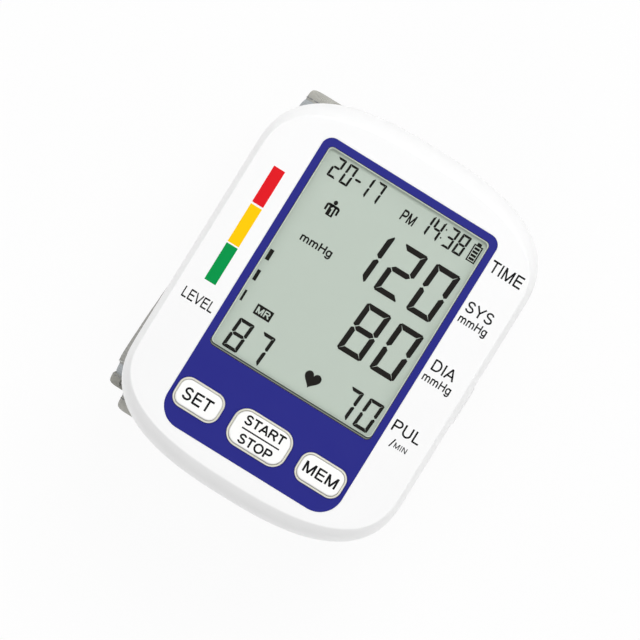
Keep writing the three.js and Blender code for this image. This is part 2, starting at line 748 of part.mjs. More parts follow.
function addAirWay(group) {
  group.add(named('air_manifold', manifold(), blackPlastic));

  const startX = motorX + motorRadius + seatGap;
  const corner = new THREE.Vector3(hoseX, outletY, motorZ);
  const hoseBend = (hoseX - startX) * hoseBendShare;
  const before = corner.clone().setX(hoseX - hoseBend);
  const after = corner.clone().setY(outletY + hoseBend);
  const path = new THREE.CurvePath();
  path.add(new THREE.LineCurve3(corner.clone().setX(startX), before));
  path.add(new THREE.QuadraticBezierCurve3(before, corner, after));
  path.add(new THREE.LineCurve3(after, corner.clone().setY(manifoldStartY - seatGap)));
  const hose = new THREE.ExtrudeGeometry(wireSection(tubeOuterRadius, hoseSides, tubeInnerRadius), {
    steps: hoseSteps,
    extrudePath: path,
  });
  group.add(named('pump_hose', hose, milkySilicone));

  const half = valveWidth / 2;
  const valveX = -(manifoldWidth / 2 + valveGap + half);
  const valveUnderZ = saddleZ(floorRadius, valveX + half) + seatGap;
  const body = block(
    [valveX - half, valveY - valveLength / 2, valveUnderZ],
    [valveX + half, valveY + valveLength / 2, valveUnderZ + valveHeight]);
  const hold = valvePlungerHold + seatGap;
  const bore = at(rodAcross(valvePlungerRadius + seatGap, -hold, overrun), [valveX + half, valveY], motorZ);
  group.add(named('valve_body', cut(body, bore), blackPlastic));

  const tip = valveGap - valveTravel - seatGap;
  const plunger = rodAcross(valvePlungerRadius, -valvePlungerHold, tip);
  group.add(named('valve_plunger', plunger, steel, [valveX + half, valveY, motorZ]));

  const sensorHalf = sensorWidth / 2;
  const sensorUnderZ = boardUnderZ - sensorHeight;
  const chip = block([-sensorHalf, -sensorHalf, sensorUnderZ], [sensorHalf, sensorHalf, boardUnderZ]);
  const portRod = rod(nippleRadius, sensorUnderZ - portReach, sensorUnderZ + overrun);
  group.add(named('pressure_sensor', join(chip, portRod), blackPlastic, [sensorX, valveY, 0]));
  const link = sleeve(tubeOuterRadius, tubeInnerRadius, manifoldTopZ + seatGap, sensorUnderZ - seatGap);
  group.add(named('sensor_hose', link, milkySilicone, [sensorX, valveY, 0]));
}

function addBoard(group) {
  const length = 2 * (screwY - bossRadius - seatGap);
  const board = plate(roundedRectangle(boardWidth, length, windowRadius), boardUnderZ, boardTopZ);
  group.add(named('circuit_board', board, boardGreen, [boardX, 0, 0]));
  const half = chipWidth / 2;
  const chip = block([-half, -half, boardUnderZ - chipHeight], [half, half, boardUnderZ]);
  group.add(named('processor_chip', chip, blackPlastic, [chipX, chipY, 0]));
}

// Cuff loop: outer outlines in the plane across the wrist, run anticlockwise round the opening
function arc(x, z, radius, from, to) {
  const curve = new THREE.EllipseCurve(x, z, radius, radius, from, to);
  return { curve, steps: Math.max(1, Math.ceil((to - from) / bandStepAngle)) };
}

function line(fromX, fromZ, toX, toZ) {
  const curve = new THREE.LineCurve(new THREE.Vector2(fromX, fromZ), new THREE.Vector2(toX, toZ));
  return { curve, steps: 1 };
}

const shoulderOrbit = cuffSaddleRadius - shoulderRadius;

// How far round the saddle a shoulder arc starts, so that it ends on a side at this distance
function shoulderAngle(side) {
  return Math.asin((side - shoulderRadius) / shoulderOrbit);
}

const quarterTurn = Math.PI / 2;
const leftShoulder = shoulderAngle(-cuffLeft);
const rightShoulder = shoulderAngle(strapRight);
const leftShoulderZ = saddleCentreZ + shoulderOrbit * Math.cos(leftShoulder);
const rightShoulderZ = saddleCentreZ + shoulderOrbit * Math.cos(rightShoulder);

// Wide cuff: from under the case, over the left shoulder and down to its end
function cuffCurves(endZ) {
  const start = Math.acos(cuffStartX / cuffSaddleRadius);
  return [
    arc(0, saddleCentreZ, cuffSaddleRadius, start, quarterTurn + leftShoulder),
    arc(cuffLeft + shoulderRadius, leftShoulderZ, shoulderRadius, quarterTurn + leftShoulder, Math.PI),
    line(cuffLeft, leftShoulderZ, cuffLeft, endZ),
  ];
}

function sideEndAngle() {
  return Math.acos((cuffStartX + seatGap) / cuffSaddleRadius);
}

// Strap's side: from its bend up the right side and in under the case
function sideCurves(inset) {
  const end = sideEndAngle() - inset;
  return [
    line(strapRight, strapBendRadius + seatGap, strapRight, rightShoulderZ),
    arc(strapRight - shoulderRadius, rightShoulderZ, shoulderRadius, 0, quarterTurn - rightShoulder),
    arc(0, saddleCentreZ, cuffSaddleRadius, quarterTurn - rightShoulder, end),
  ];
}

// Strap's base: the two lower bends and the flat stretch that the monitor stands on
function baseCurves() {
  const left = strapLeft + strapBendRadius;
  const right = strapRight - strapBendRadius;
  return [
    arc(left, strapBendRadius, strapBendRadius, Math.PI, 3 * quarterTurn),
    line(left, 0, right, 0),
    arc(right, strapBendRadius, strapBendRadius, 3 * quarterTurn, 4 * quarterTurn),
  ];
}

// Strap's tip: up the left side, outside the wide cuff
function tipCurves(topZ) {
  return [line(strapLeft, topZ, strapLeft, strapBendRadius + seatGap)];
}

// Points along the curves, drawn in towards the opening by depth
function offsetPoints(curves, depth) {
  const points = [];
  curves.forEach(({ curve, steps }, part) => {
    for (let step = part ? 1 : 0; step <= steps; step += 1) {
      const point = curve.getPoint(step / steps);
      const tangent = curve.getTangent(step / steps);
      points.push(point.add(new THREE.Vector2(-tangent.y, tangent.x).multiplyScalar(depth)));
    }
  });
  return points;
}

// One layer of the cuff: a strip between two depths, with its width along the wrist
function strip(curves, outerDepth, innerDepth, width, shift) {
  const inner = offsetPoints(curves, innerDepth).reverse();
  const shape = new THREE.Shape([...offsetPoints(curves, outerDepth), ...inner]);
  const layer = new THREE.ExtrudeGeometry(shape, { depth: width, bevelEnabled: false });
  return layer.rotateX(quarterTurn).translate(0, shift + width / 2, 0);
}

// The tapes that wrap the two long edges of a stretch of cuff
function edgeTapes(curves, thickness, width, tape, shift) {
  return [1, -1].map((side) => strip(curves, 0, thickness, tape, shift + side * (width - tape) / 2));
}

// One tape that runs down a long edge, across the end and back up the other long edge
function endedTape(curves, end, thickness, width, tape, shift) {
  const [upper, lower] = edgeTapes(curves, thickness, width, tape, shift);
  return join(upper, lower, strip(end, 0, thickness, width - tape, shift));
}

const coreDepth = coverThickness + seatGap;
const bladderDepth = coreDepth + coreThickness + seatGap;
const cuffLiningDepth = bladderDepth + bladderThickness + seatGap;
const cuffLayerWidth = cuffWidth - 2 * (cuffBinding + seatGap);
const strapLayerWidth = strapWidth - 2 * (strapBinding + seatGap);

function addWideCuff(group) {
  const whole = cuffCurves(cuffEndZ);
  const curves = cuffCurves(cuffEndZ + cuffBinding + seatGap);
  const coreWidth = cuffLayerWidth - 2 * coreMargin;
  const hole = (radius, place) => at(rod(radius, cuffEndZ, faceZ), place);
  const screwHoles = cuffScrewPlaces.map((place) => hole(screwShankRadius + seatGap, place));
  const coverStrip = strip(curves, 0, coverThickness, cuffLayerWidth, cuffShift);
  const cover = cut(coverStrip, hole(cuffNippleRadius + seatGap, [0, airY]), ...screwHoles);
  group.add(named('cuff_cover', cover, loopFabric));
  const coreStrip = strip(curves, coreDepth, coreDepth + coreThickness, coreWidth, cuffShift);
  const core = cut(coreStrip, hole(nippleFlangeRadius + seatGap, [0, airY]), ...screwHoles);
  group.add(named('cuff_core', core, corePlastic));
  const bladder = strip(curves, bladderDepth, bladderDepth + bladderThickness, coreWidth, cuffShift);
  group.add(named('cuff_bladder', bladder, bladderFilm));
  const lining = strip(curves, cuffLiningDepth, cuffThickness, cuffLayerWidth, cuffShift);
  group.add(named('cuff_lining', lining, liningFabric));
  const end = [line(cuffLeft, cuffEndZ + cuffBinding, cuffLeft, cuffEndZ)];
  const tape = endedTape(whole, end, cuffThickness, cuffWidth, cuffBinding, cuffShift);
  group.add(named('cuff_tape', tape, bindingFabric));
}

// A stretch of strap: cover, stiffening core and inner face between its edge tapes
function addStrapStretch(group, name, curves, inner) {
  const coreWidth = strapLayerWidth - 2 * coreMargin;
  const cover = strip(curves, 0, coverThickness, strapLayerWidth, strapShift);
  group.add(named(`${name}_cover`, cover, loopFabric));
  const core = strip(curves, coreDepth, coreDepth + coreThickness, coreWidth, strapShift);
  group.add(named(`${name}_core`, core, corePlastic));
  const face = strip(curves, bladderDepth, strapThickness, strapLayerWidth - inner.margin, strapShift);
  group.add(named(`${name}_${inner.name}`, face, inner.look));
}

function addStrap(group) {
  const lining = { name: 'lining', look: liningFabric, margin: 0 };
  const hook = { name: 'hook', look: hookFabric, margin: 2 * hookMargin };
  const tapeSizes = [strapThickness, strapWidth, strapBinding, strapShift];

  const inset = (strapBinding + seatGap) / cuffSaddleRadius;
  addStrapStretch(group, 'side', sideCurves(inset), lining);
  const tapeAngle = strapBinding / cuffSaddleRadius;
  const rootEnd = arc(0, saddleCentreZ, cuffSaddleRadius, sideEndAngle() - tapeAngle, sideEndAngle());
  const sideTape = endedTape([...sideCurves(tapeAngle), rootEnd], [rootEnd], ...tapeSizes);
  group.add(named('side_tape', sideTape, bindingFabric));

  addStrapStretch(group, 'base', baseCurves(), lining);
  const [upper, lower] = edgeTapes(baseCurves(), ...tapeSizes);
  group.add(named('base_tape_upper', upper, bindingFabric));
  group.add(named('base_tape_lower', lower, bindingFabric));

  addStrapStretch(group, 'tip', tipCurves(tipTopZ - strapBinding - seatGap), hook);
  const tipEnd = [line(strapLeft, tipTopZ, strapLeft, tipTopZ - strapBinding)];
  group.add(named('tip_tape', endedTape(tipCurves(tipTopZ), tipEnd, ...tapeSizes), bindingFabric));
}

// The stub that feeds the cuff's bladder, and the screws that hold the cuff's core to the case
function addCuffFixings(group) {
  const coreUnderZ = cuffCrownZ - coreDepth - coreThickness;
  const nipple = turned([[airWayRadius, 0], [nippleFlangeRadius, 0], [nippleFlangeRadius, coreThickness],
    [cuffNippleRadius, coreThickness], [cuffNippleRadius, manifoldUnderZ + cuffNippleEntry - coreUnderZ],
    [airWayRadius, manifoldUnderZ + cuffNippleEntry - coreUnderZ], [airWayRadius, 0]]);
  group.add(named('cuff_air_stub', nipple, blackPlastic, [0, airY, coreUnderZ]));
  const headZ = floorCrownZ + seatGap;
  const cuffScrew = screw(cuffScrewHeadRadius, cuffScrewHeadHeight, screwShankRadius, headZ - coreUnderZ);
  cuffScrewPlaces.forEach(([x, y], i) => {
    const mesh = named(`cuff_screw_${i + 1}`, cuffScrew, steel, [x, y, headZ]);
    mesh.rotation.x = Math.PI;
    group.add(mesh);
  });
}

const displayCase = new THREE.Group();
addCase(displayCase);
addDisplay(displayCase);
addButtons(displayCase);
addBoard(displayCase);
addBatteries(displayCase);
addPump(displayCase);
addAirWay(displayCase);

const cuff = new THREE.Group();
addWideCuff(cuff);
addStrap(cuff);
addCuffFixings(cuff);

const monitor = new THREE.Group();
monitor.add(displayCase, cuff);

export default monitor;
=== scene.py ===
"""Wrist blood pressure monitor, dressed round its CAD frame.

The frame is metres, +X the display's right, +Y its top edge, +Z out of the display.
"""

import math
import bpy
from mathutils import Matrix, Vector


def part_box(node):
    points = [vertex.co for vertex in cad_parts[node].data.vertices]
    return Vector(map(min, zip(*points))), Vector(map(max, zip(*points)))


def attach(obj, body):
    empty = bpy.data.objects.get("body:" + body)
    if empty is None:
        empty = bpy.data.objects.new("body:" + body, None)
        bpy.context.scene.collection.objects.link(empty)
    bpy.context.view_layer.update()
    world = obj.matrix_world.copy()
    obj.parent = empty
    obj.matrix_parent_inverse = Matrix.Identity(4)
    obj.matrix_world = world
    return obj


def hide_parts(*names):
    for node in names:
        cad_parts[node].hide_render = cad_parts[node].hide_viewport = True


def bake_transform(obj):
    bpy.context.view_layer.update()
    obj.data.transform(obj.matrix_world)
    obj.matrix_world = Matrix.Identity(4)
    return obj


bl_info = {
    "name": "Wrist Monitor Dresser",
    "version": (1, 0, 0),
    "blender": (4, 5, 0),
    "location": "View3D > Sidebar > Monitor",
    "description": "Models the visible pieces of a wrist blood pressure monitor round its CAD frame",
    "category": "Object",
}

import bpy
from mathutils import Vector

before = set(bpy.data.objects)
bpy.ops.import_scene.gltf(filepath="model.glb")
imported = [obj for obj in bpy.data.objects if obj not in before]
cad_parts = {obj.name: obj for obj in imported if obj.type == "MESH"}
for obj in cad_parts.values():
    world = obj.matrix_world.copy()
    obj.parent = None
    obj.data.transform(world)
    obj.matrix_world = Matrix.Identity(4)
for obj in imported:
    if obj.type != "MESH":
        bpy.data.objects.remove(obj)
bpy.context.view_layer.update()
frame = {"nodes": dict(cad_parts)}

MM = 0.001

# Outlines and levels read from the frame
PANEL_LOW, PANEL_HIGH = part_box("front_panel")
LENS_LOW, LENS_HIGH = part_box("display_lens")
CASE_LOW, CASE_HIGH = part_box("case_bottom")
DOOR_LOW, DOOR_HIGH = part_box("battery_door")
CUFF_LOW, CUFF_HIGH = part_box("cuff_tape")
STRAP_LOW, STRAP_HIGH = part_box("side_tape")
FACE_Z = PANEL_HIGH.z
PANEL_UNDER_Z = LENS_HIGH.z
FACE_UNDER_Z = LENS_LOW.z
GLASS_TOP_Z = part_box("display_glass")[1].z
PARTING_HIGH_Z = CASE_HIGH.z + 0.2 * MM
CASE_WIDTH = CASE_HIGH.x - CASE_LOW.x
CASE_LENGTH = CASE_HIGH.y - CASE_LOW.y
# The window is the lens less the edge that the panel covers
WINDOW_LOW = (LENS_LOW.x + 0.8 * MM, LENS_LOW.y + 0.65 * MM)
WINDOW_HIGH = (LENS_HIGH.x - 0.8 * MM, LENS_HIGH.y - 0.8 * MM)


def colour(text):
    """An sRGB hex value as linear red, green, blue and alpha."""
    channels = [int(text[i:i + 2], 16) / 255 for i in (1, 3, 5)]
    return [c / 12.92 if c <= 0.04045 else ((c + 0.055) / 1.055) ** 2.4 for c in channels] + [1.0]


def number(title, about, value, **kind):
    return bpy.props.FloatProperty(name=title, description=about, default=value, **kind)


def length(title, about, millimetres):
    return number(title, about, millimetres * MM, unit="LENGTH", subtype="DISTANCE", precision=5)


def paint(title, about, text):
    return bpy.props.FloatVectorProperty(
        name=title, description=about, default=colour(text), size=4, min=0, max=1, subtype="COLOR")


class CaseSettings(bpy.types.PropertyGroup):
    straight: length("Straight sides", "Length of the case's straight sides", 48)
    side_band: length("Side band", "Width of the convex band beside the flat face", 1.3)
    end_band: length("End band", "Width of the convex band at the flat face's two ends", 3.55)
    edge_drop: length("Edge drop", "Height over which the face's edge falls to the full width", 9)
    wall: length("Wall", "Thickness of the moulded wall", 2)
    rim: length("Rim round", "Rounding of the flat face's rim", 0.2)
    bow: number("Bow", "Exponent of the bowed ends: 2 is an ellipse and more is squarer", 2.63)
    plastic: paint("Case plastic", "Colour of the moulded shells", "#f6f6f6")
    panel: paint("Panel print", "Colour printed behind the front panel", "#2a2c86")


class DisplaySettings(bpy.types.PropertyGroup):
    ground: paint("Display ground", "Colour of the display's reflector", "#cbd0c8")
    segments: paint("Segments", "Colour of a segment that is on", "#1f1a18")


class KeySettings(bpy.types.PropertyGroup):
    crown: length("Crown", "How far a key stands out of the panel", 0.8)
    gap: length("Gap", "Gap between a key and its frame", 0.16)
    frame: length("Frame", "Width of the pale frame round a key", 0.36)
    cap: paint("Key cap", "Colour of the keys", "#fbfbf9")
    surround: paint("Key frame", "Colour of the frame round each key", "#e6e4d6")
    legend: paint("Black print", "Colour of the words on the keys and the case", "#141315")


class CuffSettings(bpy.types.PropertyGroup):
    binding: length("Cuff binding", "Width of the tape round the wide cuff's edge", 3)
    strap_binding: length("Strap binding", "Width of the tape round the strap's edge", 2.7)
    puff: length("Puff", "How far the padding sinks towards a sewn edge", 0.9)
    stitch: length("Stitch", "Length of one stitch along a binding", 2.2)
    loop: paint("Loop fabric", "Colour of the brushed loop fabric", "#a3a29c")
    shell: paint("Shell fabric", "Colour of the smooth fabric at edges and inside", "#b1b6b9")
    tape: paint("Binding tape", "Colour of the ribbed edge binding", "#c0bfb8")
    # The strap's binding is the cuff's binding tape painted darker, as painted shade
    shaded_strap_tape: paint("Strap's binding tape", "Colour of the strap's ribbed binding", "#a3a29b")
    hook: paint("Hook tape", "Colour of the hook tape", "#8f9190")
    thread: paint("Thread", "Colour of the stitches along the bindings", "#86888a")
    pale_thread: paint("Pale thread", "Colour of the stitches round the loop fabric", "#c9cbc6")


class StageSettings(bpy.types.PropertyGroup):
    turn: number("Turn", "Turn of the monitor in the picture", math.radians(31.75), subtype="ANGLE")
    lens: number("Lens", "Focal length of the camera in millimetres", 1000)
    view_width: length("View width", "Width of the picture at the monitor's face", 136.2)
    key_light: number("Key light", "Power of the large lamp beyond the display's top edge", 5.95, subtype="POWER",
                      unit="POWER")
    around: number("Surroundings", "Brightness of the white tent round the monitor", 0.53)
    overhead: number("Overhead", "Brightness of the tent's opening straight above", 0.06)
    floor: paint("Floor", "Colour of the floor and the backdrop", "#f4f4f4")


SETTINGS = {
    "monitor_case": CaseSettings,
    "monitor_display": DisplaySettings,
    "monitor_keys": KeySettings,
    "monitor_cuff": CuffSettings,
    "monitor_stage": StageSettings,
}


# Working on one object at a time

def focus(obj):
    """Object mode, with only this object selected."""
    current = bpy.context.view_layer.objects.active
    if current and current.mode != "OBJECT":
        bpy.ops.object.mode_set(mode="OBJECT")
    bpy.ops.object.select_all(action="DESELECT")
    obj.select_set(True)
    bpy.context.view_layer.objects.active = obj


def modify(obj, kind, **settings):
    """Adds a modifier with these settings and applies it."""
    focus(obj)
    bpy.ops.object.modifier_add(type=kind)
    modifier = obj.modifiers[-1]
    for key, value in settings.items():
        setattr(modifier, key, value)
    bpy.ops.object.modifier_apply(modifier=modifier.name)
    return obj


def combine(obj, tool, operation):
    """A Boolean with another solid, which is used up."""
    modify(obj, "BOOLEAN", object=tool, operation=operation, solver="EXACT")
    bpy.data.objects.remove(tool)
    return obj


def mesh_object(name, points, faces):
    mesh = bpy.data.meshes.new(name)
    mesh.from_pydata([tuple(p) for p in points], [], faces)
    obj = bpy.data.objects.new(name, mesh)
    bpy.context.scene.collection.objects.link(obj)
    return obj


def settle(obj):
    """Puts an object's turn, size and place into its mesh."""
    focus(obj)
    bpy.ops.object.transform_apply(location=True, rotation=True, scale=True)
    return obj


def join(name, objects):
    focus(objects[0])
    for obj in objects:
        obj.select_set(True)
    if len(objects) > 1:
        bpy.ops.object.join()
    objects[0].name = name
    objects[0].data.name = name
    return objects[0]


def outward(obj, closer=0.0):
    """Merges points closer than this and turns the faces outwards."""
    focus(obj)
    bpy.ops.object.mode_set(mode="EDIT")
    bpy.ops.mesh.select_all(action="SELECT")
    if closer:
        bpy.ops.mesh.remove_doubles(threshold=closer)
    bpy.ops.mesh.normals_make_consistent(inside=False)
    bpy.ops.object.mode_set(mode="OBJECT")
    return obj


def tidy(obj, angle=30, weighted=True):
    """Closes doubles, turns faces outwards and smooths what meets below the angle in degrees."""
    outward(obj, 0.002 * MM)
    bpy.ops.object.shade_smooth_by_angle(angle=math.radians(angle))
    if weighted:
        modify(obj, "WEIGHTED_NORMAL", keep_sharp=True, weight=100)
    return obj


def finish_piece(obj, material, body=None, stands_for=()):
    """Gives a finished piece its material, and makes it ride on its body."""
    obj.data.materials.clear()
    obj.data.materials.append(material)
    if body:
        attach(obj, body)
    if stands_for:
        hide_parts(*stands_for)
    return obj


# Outlines and solids

def box_solid(low, high, name="box"):
    bpy.ops.mesh.primitive_cube_add(size=1, location=[(a + b) / 2 for a, b in zip(low, high)])
    obj = bpy.context.object
    obj.name = name
    obj.scale = [b - a for a, b in zip(low, high)]
    return settle(obj)


def rod_solid(radius, low, high, place):
    bpy.ops.mesh.primitive_cylinder_add(
        vertices=48, radius=radius, depth=high - low, location=(place[0], place[1], (low + high) / 2))
    return settle(bpy.context.object)


def band(first, second, count):
    """Faces between two closed rings of points that start at these numbers."""
    return [(first + i, first + (i + 1) % count, second + (i + 1) % count, second + i) for i in range(count)]


def bowed_outline(width, whole, case, steps=48):
    """Straight sides with superelliptic ends, anticlockwise."""
    straight = case.straight / 2
    bow = whole / 2 - straight
    power = 2 / case.bow
    points = []
    for side in (1, -1):
        for step in range(steps + 1):
            angle = math.pi * step / steps
            across = math.copysign(abs(math.cos(angle)) ** power, math.cos(angle))
            along = abs(math.sin(angle)) ** power
            points.append((side * across * width / 2, side * (straight + bow * along)))
    return points


def rounded_outline(width, height, top_round, bottom_round=None, centre=(0, 0), steps=10):
    """A rounded rectangle, anticlockwise from its right side."""
    bottom_round = top_round if bottom_round is None else bottom_round
    corners = [(1, 1, top_round), (-1, 1, top_round), (-1, -1, bottom_round), (1, -1, bottom_round)]
    points = []
    for i, (x, y, radius) in enumerate(corners):
        middle = (x * (width / 2 - radius), y * (height / 2 - radius))
        for step in range(steps + 1):
            angle = math.pi / 2 * (i + step / steps)
            points.append((
                centre[0] + middle[0] + radius * math.cos(angle),
                centre[1] + middle[1] + radius * math.sin(angle)))
    return points


def loft(name, rings):
    """A closed solid through (outline, level) rings of equal count, in order."""
    count = len(rings[0][0])
    points = [(x, y, z) for outline, z in rings for x, y in outline]
    faces = [tuple(reversed(range(count)))]
    for level in range(len(rings) - 1):
        faces += band(level * count, (level + 1) * count, count)
    faces.append(tuple(range((len(rings) - 1) * count, len(rings) * count)))
    return mesh_object(name, points, faces)


def prism(outline, low, high, flare=0, grown=None):
    """A straight-sided cutter; with a flare its mouth opens to the grown outline just below high."""
    rings = [(outline, low), (outline, high)]
    if grown:
        rings = [(outline, low), (outline, high - flare), (grown, high), (grown, high + 1 * MM)]
    return loft("cutter", rings)


# Materials: every pattern's size is given in millimetres and read off the object or its cloth coordinates

def per(millimetres):
    """Texture scale at which one feature has this size."""
    return 1 / (millimetres * MM)


def shade(base, factor):
    return [channel * factor for channel in base[:3]] + [1.0]


def add(tree, kind, values=None, links=None, **settings):
    """Adds a node with its settings, its sockets' values and the sockets that feed it."""
    made = tree.nodes.new(kind)
    for key, value in settings.items():
        setattr(made, key, value)
    for key, value in (values or {}).items():
        made.inputs[key].default_value = value
    for key, source in (links or {}).items():
        tree.links.new(source, made.inputs[key])
    return made


def spread(tree, source, low, high, start=0.0, end=1.0):
    """Maps a factor between start and end onto low to high."""
    return add(tree, "ShaderNodeMapRange", {"From Min": start, "From Max": end, "To Min": low, "To Max": high},
               {"Value": source}).outputs["Result"]


class Stuff:
    """A new material with its Principled shader, and the coordinates that its patterns are read from."""

    def __init__(self, name, cloth=False, **sockets):
        self.made = bpy.data.materials.new(name)
        self.made.use_nodes = True
        self.tree = self.made.node_tree
        self.shader = self.tree.nodes["Principled BSDF"]
        for key, value in sockets.items():
            self.shader.inputs[key.replace("_", " ")].default_value = value
        self.cloth, self.where = cloth, None

    def place(self):
        """Cloth coordinates follow the fabric in metres; object coordinates are the frame's own."""
        if not self.where and self.cloth:
            self.where = add(self.tree, "ShaderNodeUVMap", uv_map="Cloth").outputs["UV"]
        elif not self.where:
            self.where = add(self.tree, "ShaderNodeTexCoord").outputs["Object"]
        return self.where

    def grain(self, size, detail=2.0, rough=0.5):
        return add(self.tree, "ShaderNodeTexNoise", {"Scale": per(size), "Detail": detail, "Roughness": rough},
                   {"Vector": self.place()}).outputs["Fac"]

    def ribs(self, pitch, axis, distortion):
        """Even waves of this pitch: the wave texture runs 20 radians for each unit of its scale."""
        return add(self.tree, "ShaderNodeTexWave",
                   {"Scale": math.pi / 10 * per(pitch), "Distortion": distortion, "Detail Scale": 3.0},
                   {"Vector": self.place()}, bands_direction=axis).outputs["Fac"]

    def combined(self, operation, first, second):
        """A Math node on two factors or numbers."""
        made = add(self.tree, "ShaderNodeMath", operation=operation)
        for socket, value in zip(made.inputs, (first, second)):
            if isinstance(value, (int, float)):
                socket.default_value = value
            else:
                self.tree.links.new(value, socket)
        return made.outputs[0]

    def times(self, first, second):
        return self.combined("MULTIPLY", first, second)

    def plus(self, first, second):
        return self.combined("ADD", first, second)

    def tint(self, factor, base, dark, light):
        """Base colour between two multiples of one colour, by a factor."""
        made = add(self.tree, "ShaderNodeMix", {6: shade(base, dark), 7: shade(base, light)}, {0: factor},
                   data_type="RGBA")
        self.tree.links.new(made.outputs[2], self.shader.inputs["Base Color"])

    def dull(self, factor, low, high):
        """Roughness between two values, by a factor."""
        self.tree.links.new(spread(self.tree, factor, low, high), self.shader.inputs["Roughness"])

    def bump(self, height, depth):
        """Relief of this depth in millimetres."""
        made = add(self.tree, "ShaderNodeBump", {"Strength": 1.0, "Distance": depth * MM}, {"Height": height})
        self.tree.links.new(made.outputs["Normal"], self.shader.inputs["Normal"])

    def mix_out(self, factor, first, second):
        """Two shaders mixed by a factor as the surface."""
        mixed = add(self.tree, "ShaderNodeMixShader", {}, {0: factor, 1: first, 2: second})
        self.tree.links.new(mixed.outputs["Shader"], self.tree.nodes["Material Output"].inputs["Surface"])


def moulded(name, base, rough, grain_size, grain_depth, **sockets):
    """A moulded or machined surface: faint mottling, uneven gloss and the tool's fine grain, in millimetres."""
    stuff = Stuff(name, **sockets)
    stuff.tint(stuff.grain(9.0, 3.0), base, 0.99, 1.005)
    fine = stuff.grain(grain_size)
    stuff.dull(fine, rough - 0.03, rough + 0.03)
    stuff.bump(fine, grain_depth)
    return stuff.made


def gloss_abs(base):
    """ABS from a polished mould: bright white with soft, slightly wavy reflections."""
    return moulded("Gloss_moulded_ABS", base, 0.30, 12.0, 0.004, IOR=1.54)


def printed_film(base):
    """Back-printed polycarbonate film: deep even colour under a smooth hard coat."""
    return moulded("Back_printed_polycarbonate", base, 0.2, 6.0, 0.003, IOR=1.58, Specular_IOR_Level=0.35)


def clear_acrylic():
    """Cast acrylic window: lets the light straight through and mirrors a little more at a slant."""
    stuff = Stuff("Clear_acrylic")
    tree = stuff.tree
    outside = stuff.combined("SUBTRACT", 1.0, add(tree, "ShaderNodeNewGeometry").outputs["Backfacing"])
    facing = stuff.times(add(tree, "ShaderNodeFresnel", {"IOR": 1.49}).outputs["Fac"], outside)
    through = add(tree, "ShaderNodeBsdfTransparent", {"Color": colour("#fbfdfc")})
    gloss = add(tree, "ShaderNodeBsdfGlossy", {"Color": (1, 1, 1, 1)},
                {"Roughness": spread(tree, stuff.grain(2.5), 0.02, 0.05)})
    stuff.mix_out(facing, through.outputs["BSDF"], gloss.outputs["BSDF"])
    tree.nodes.remove(stuff.shader)
    return stuff.made


def key_plastic(name, base):
    """Moulded key plastic: smooth satin, a little duller than the case."""
    return moulded(name, base, 0.32, 5.0, 0.004, IOR=1.54)


def reflective_display(base):
    """Reflective liquid crystal glass: matt grey-green with the polariser's fine grain."""
    stuff = Stuff("Reflective_display_glass", IOR=1.5, Specular_IOR_Level=0.3)
    stuff.tint(stuff.grain(0.12), base, 0.985, 1.015)
    stuff.dull(stuff.grain(6.0), 0.5, 0.6)
    return stuff.made


def ink(name, base, rough=0.35):
    """Pad-printed ink: dense, slightly uneven and duller than the plastic it lies on."""
    return moulded(name, base, rough, 3.0, 0.001, Specular_IOR_Level=0.1)


def brushed_loop(base):
    """Unbroken-loop polyester: a felted nap of tiny loops that scatters light softly."""
    stuff = Stuff("Brushed_loop_fabric", True, Sheen_Weight=0.25, Sheen_Roughness=0.6, Specular_IOR_Level=0.2,
                  Roughness=0.95)
    height = stuff.plus(stuff.times(stuff.ribs(0.9, "Y", 1.5), 0.35), stuff.grain(0.45, 4.0, 0.65))
    # Colour: random tone from a wide grain, and painted shade that darkens the loops' hollows along with the relief
    tone_and_shade = stuff.plus(stuff.times(height, 0.6), stuff.times(stuff.grain(7.0), 0.3))
    stuff.tint(spread(stuff.tree, tone_and_shade, 0, 1, 0.3, 0.8), base, 0.78, 1.12)
    stuff.bump(height, 0.22)
    return stuff.made


def tricot(base):
    """Warp-knit nylon: smooth, close wales with a slight lustre."""
    stuff = Stuff("Tricot_nylon", True, Sheen_Weight=0.12, Sheen_Roughness=0.4, Specular_IOR_Level=0.35)
    courses = spread(stuff.tree, stuff.ribs(0.42, "X", 0.4), 0.45, 1.0)
    height = stuff.times(stuff.ribs(0.5, "Y", 0.4), courses)
    # Colour: painted shade, darker in the relief's lows, with random tone from a wide grain
    stuff.tint(stuff.plus(stuff.times(height, 0.55), stuff.times(stuff.grain(9.0), 0.35)), base, 0.86, 1.1)
    stuff.dull(height, 0.85, 0.65)
    stuff.bump(height, 0.07)
    return stuff.made


def grosgrain(base):
    """Ribbed polyester tape: fine ribs straight across it, about two to the millimetre."""
    stuff = Stuff("Grosgrain_binding", True, Sheen_Weight=0.1, Specular_IOR_Level=0.25, Roughness=0.85)
    height = stuff.plus(stuff.ribs(RIB, "X", 0.3), stuff.times(stuff.grain(0.3), 0.3))
    # Colour: painted shade, darker between the ribs, with random tone from a wide grain
    stuff.tint(stuff.plus(stuff.times(height, 0.5), stuff.times(stuff.grain(5.0), 0.3)), base, 0.8, 1.12)
    stuff.bump(height, 0.12)
    return stuff.made


def twisted_thread(name, base):
    """Spun polyester thread: matt, with the slant of its twist."""
    stuff = Stuff(name, Roughness=0.8, Sheen_Weight=0.15)
    twist = stuff.grain(0.2)
    # The twist's relief also sets the colour: painted shade, darker where the relief is low
    stuff.tint(twist, base, 0.8, 1.1)
    stuff.bump(twist, 0.05)
    return stuff.made


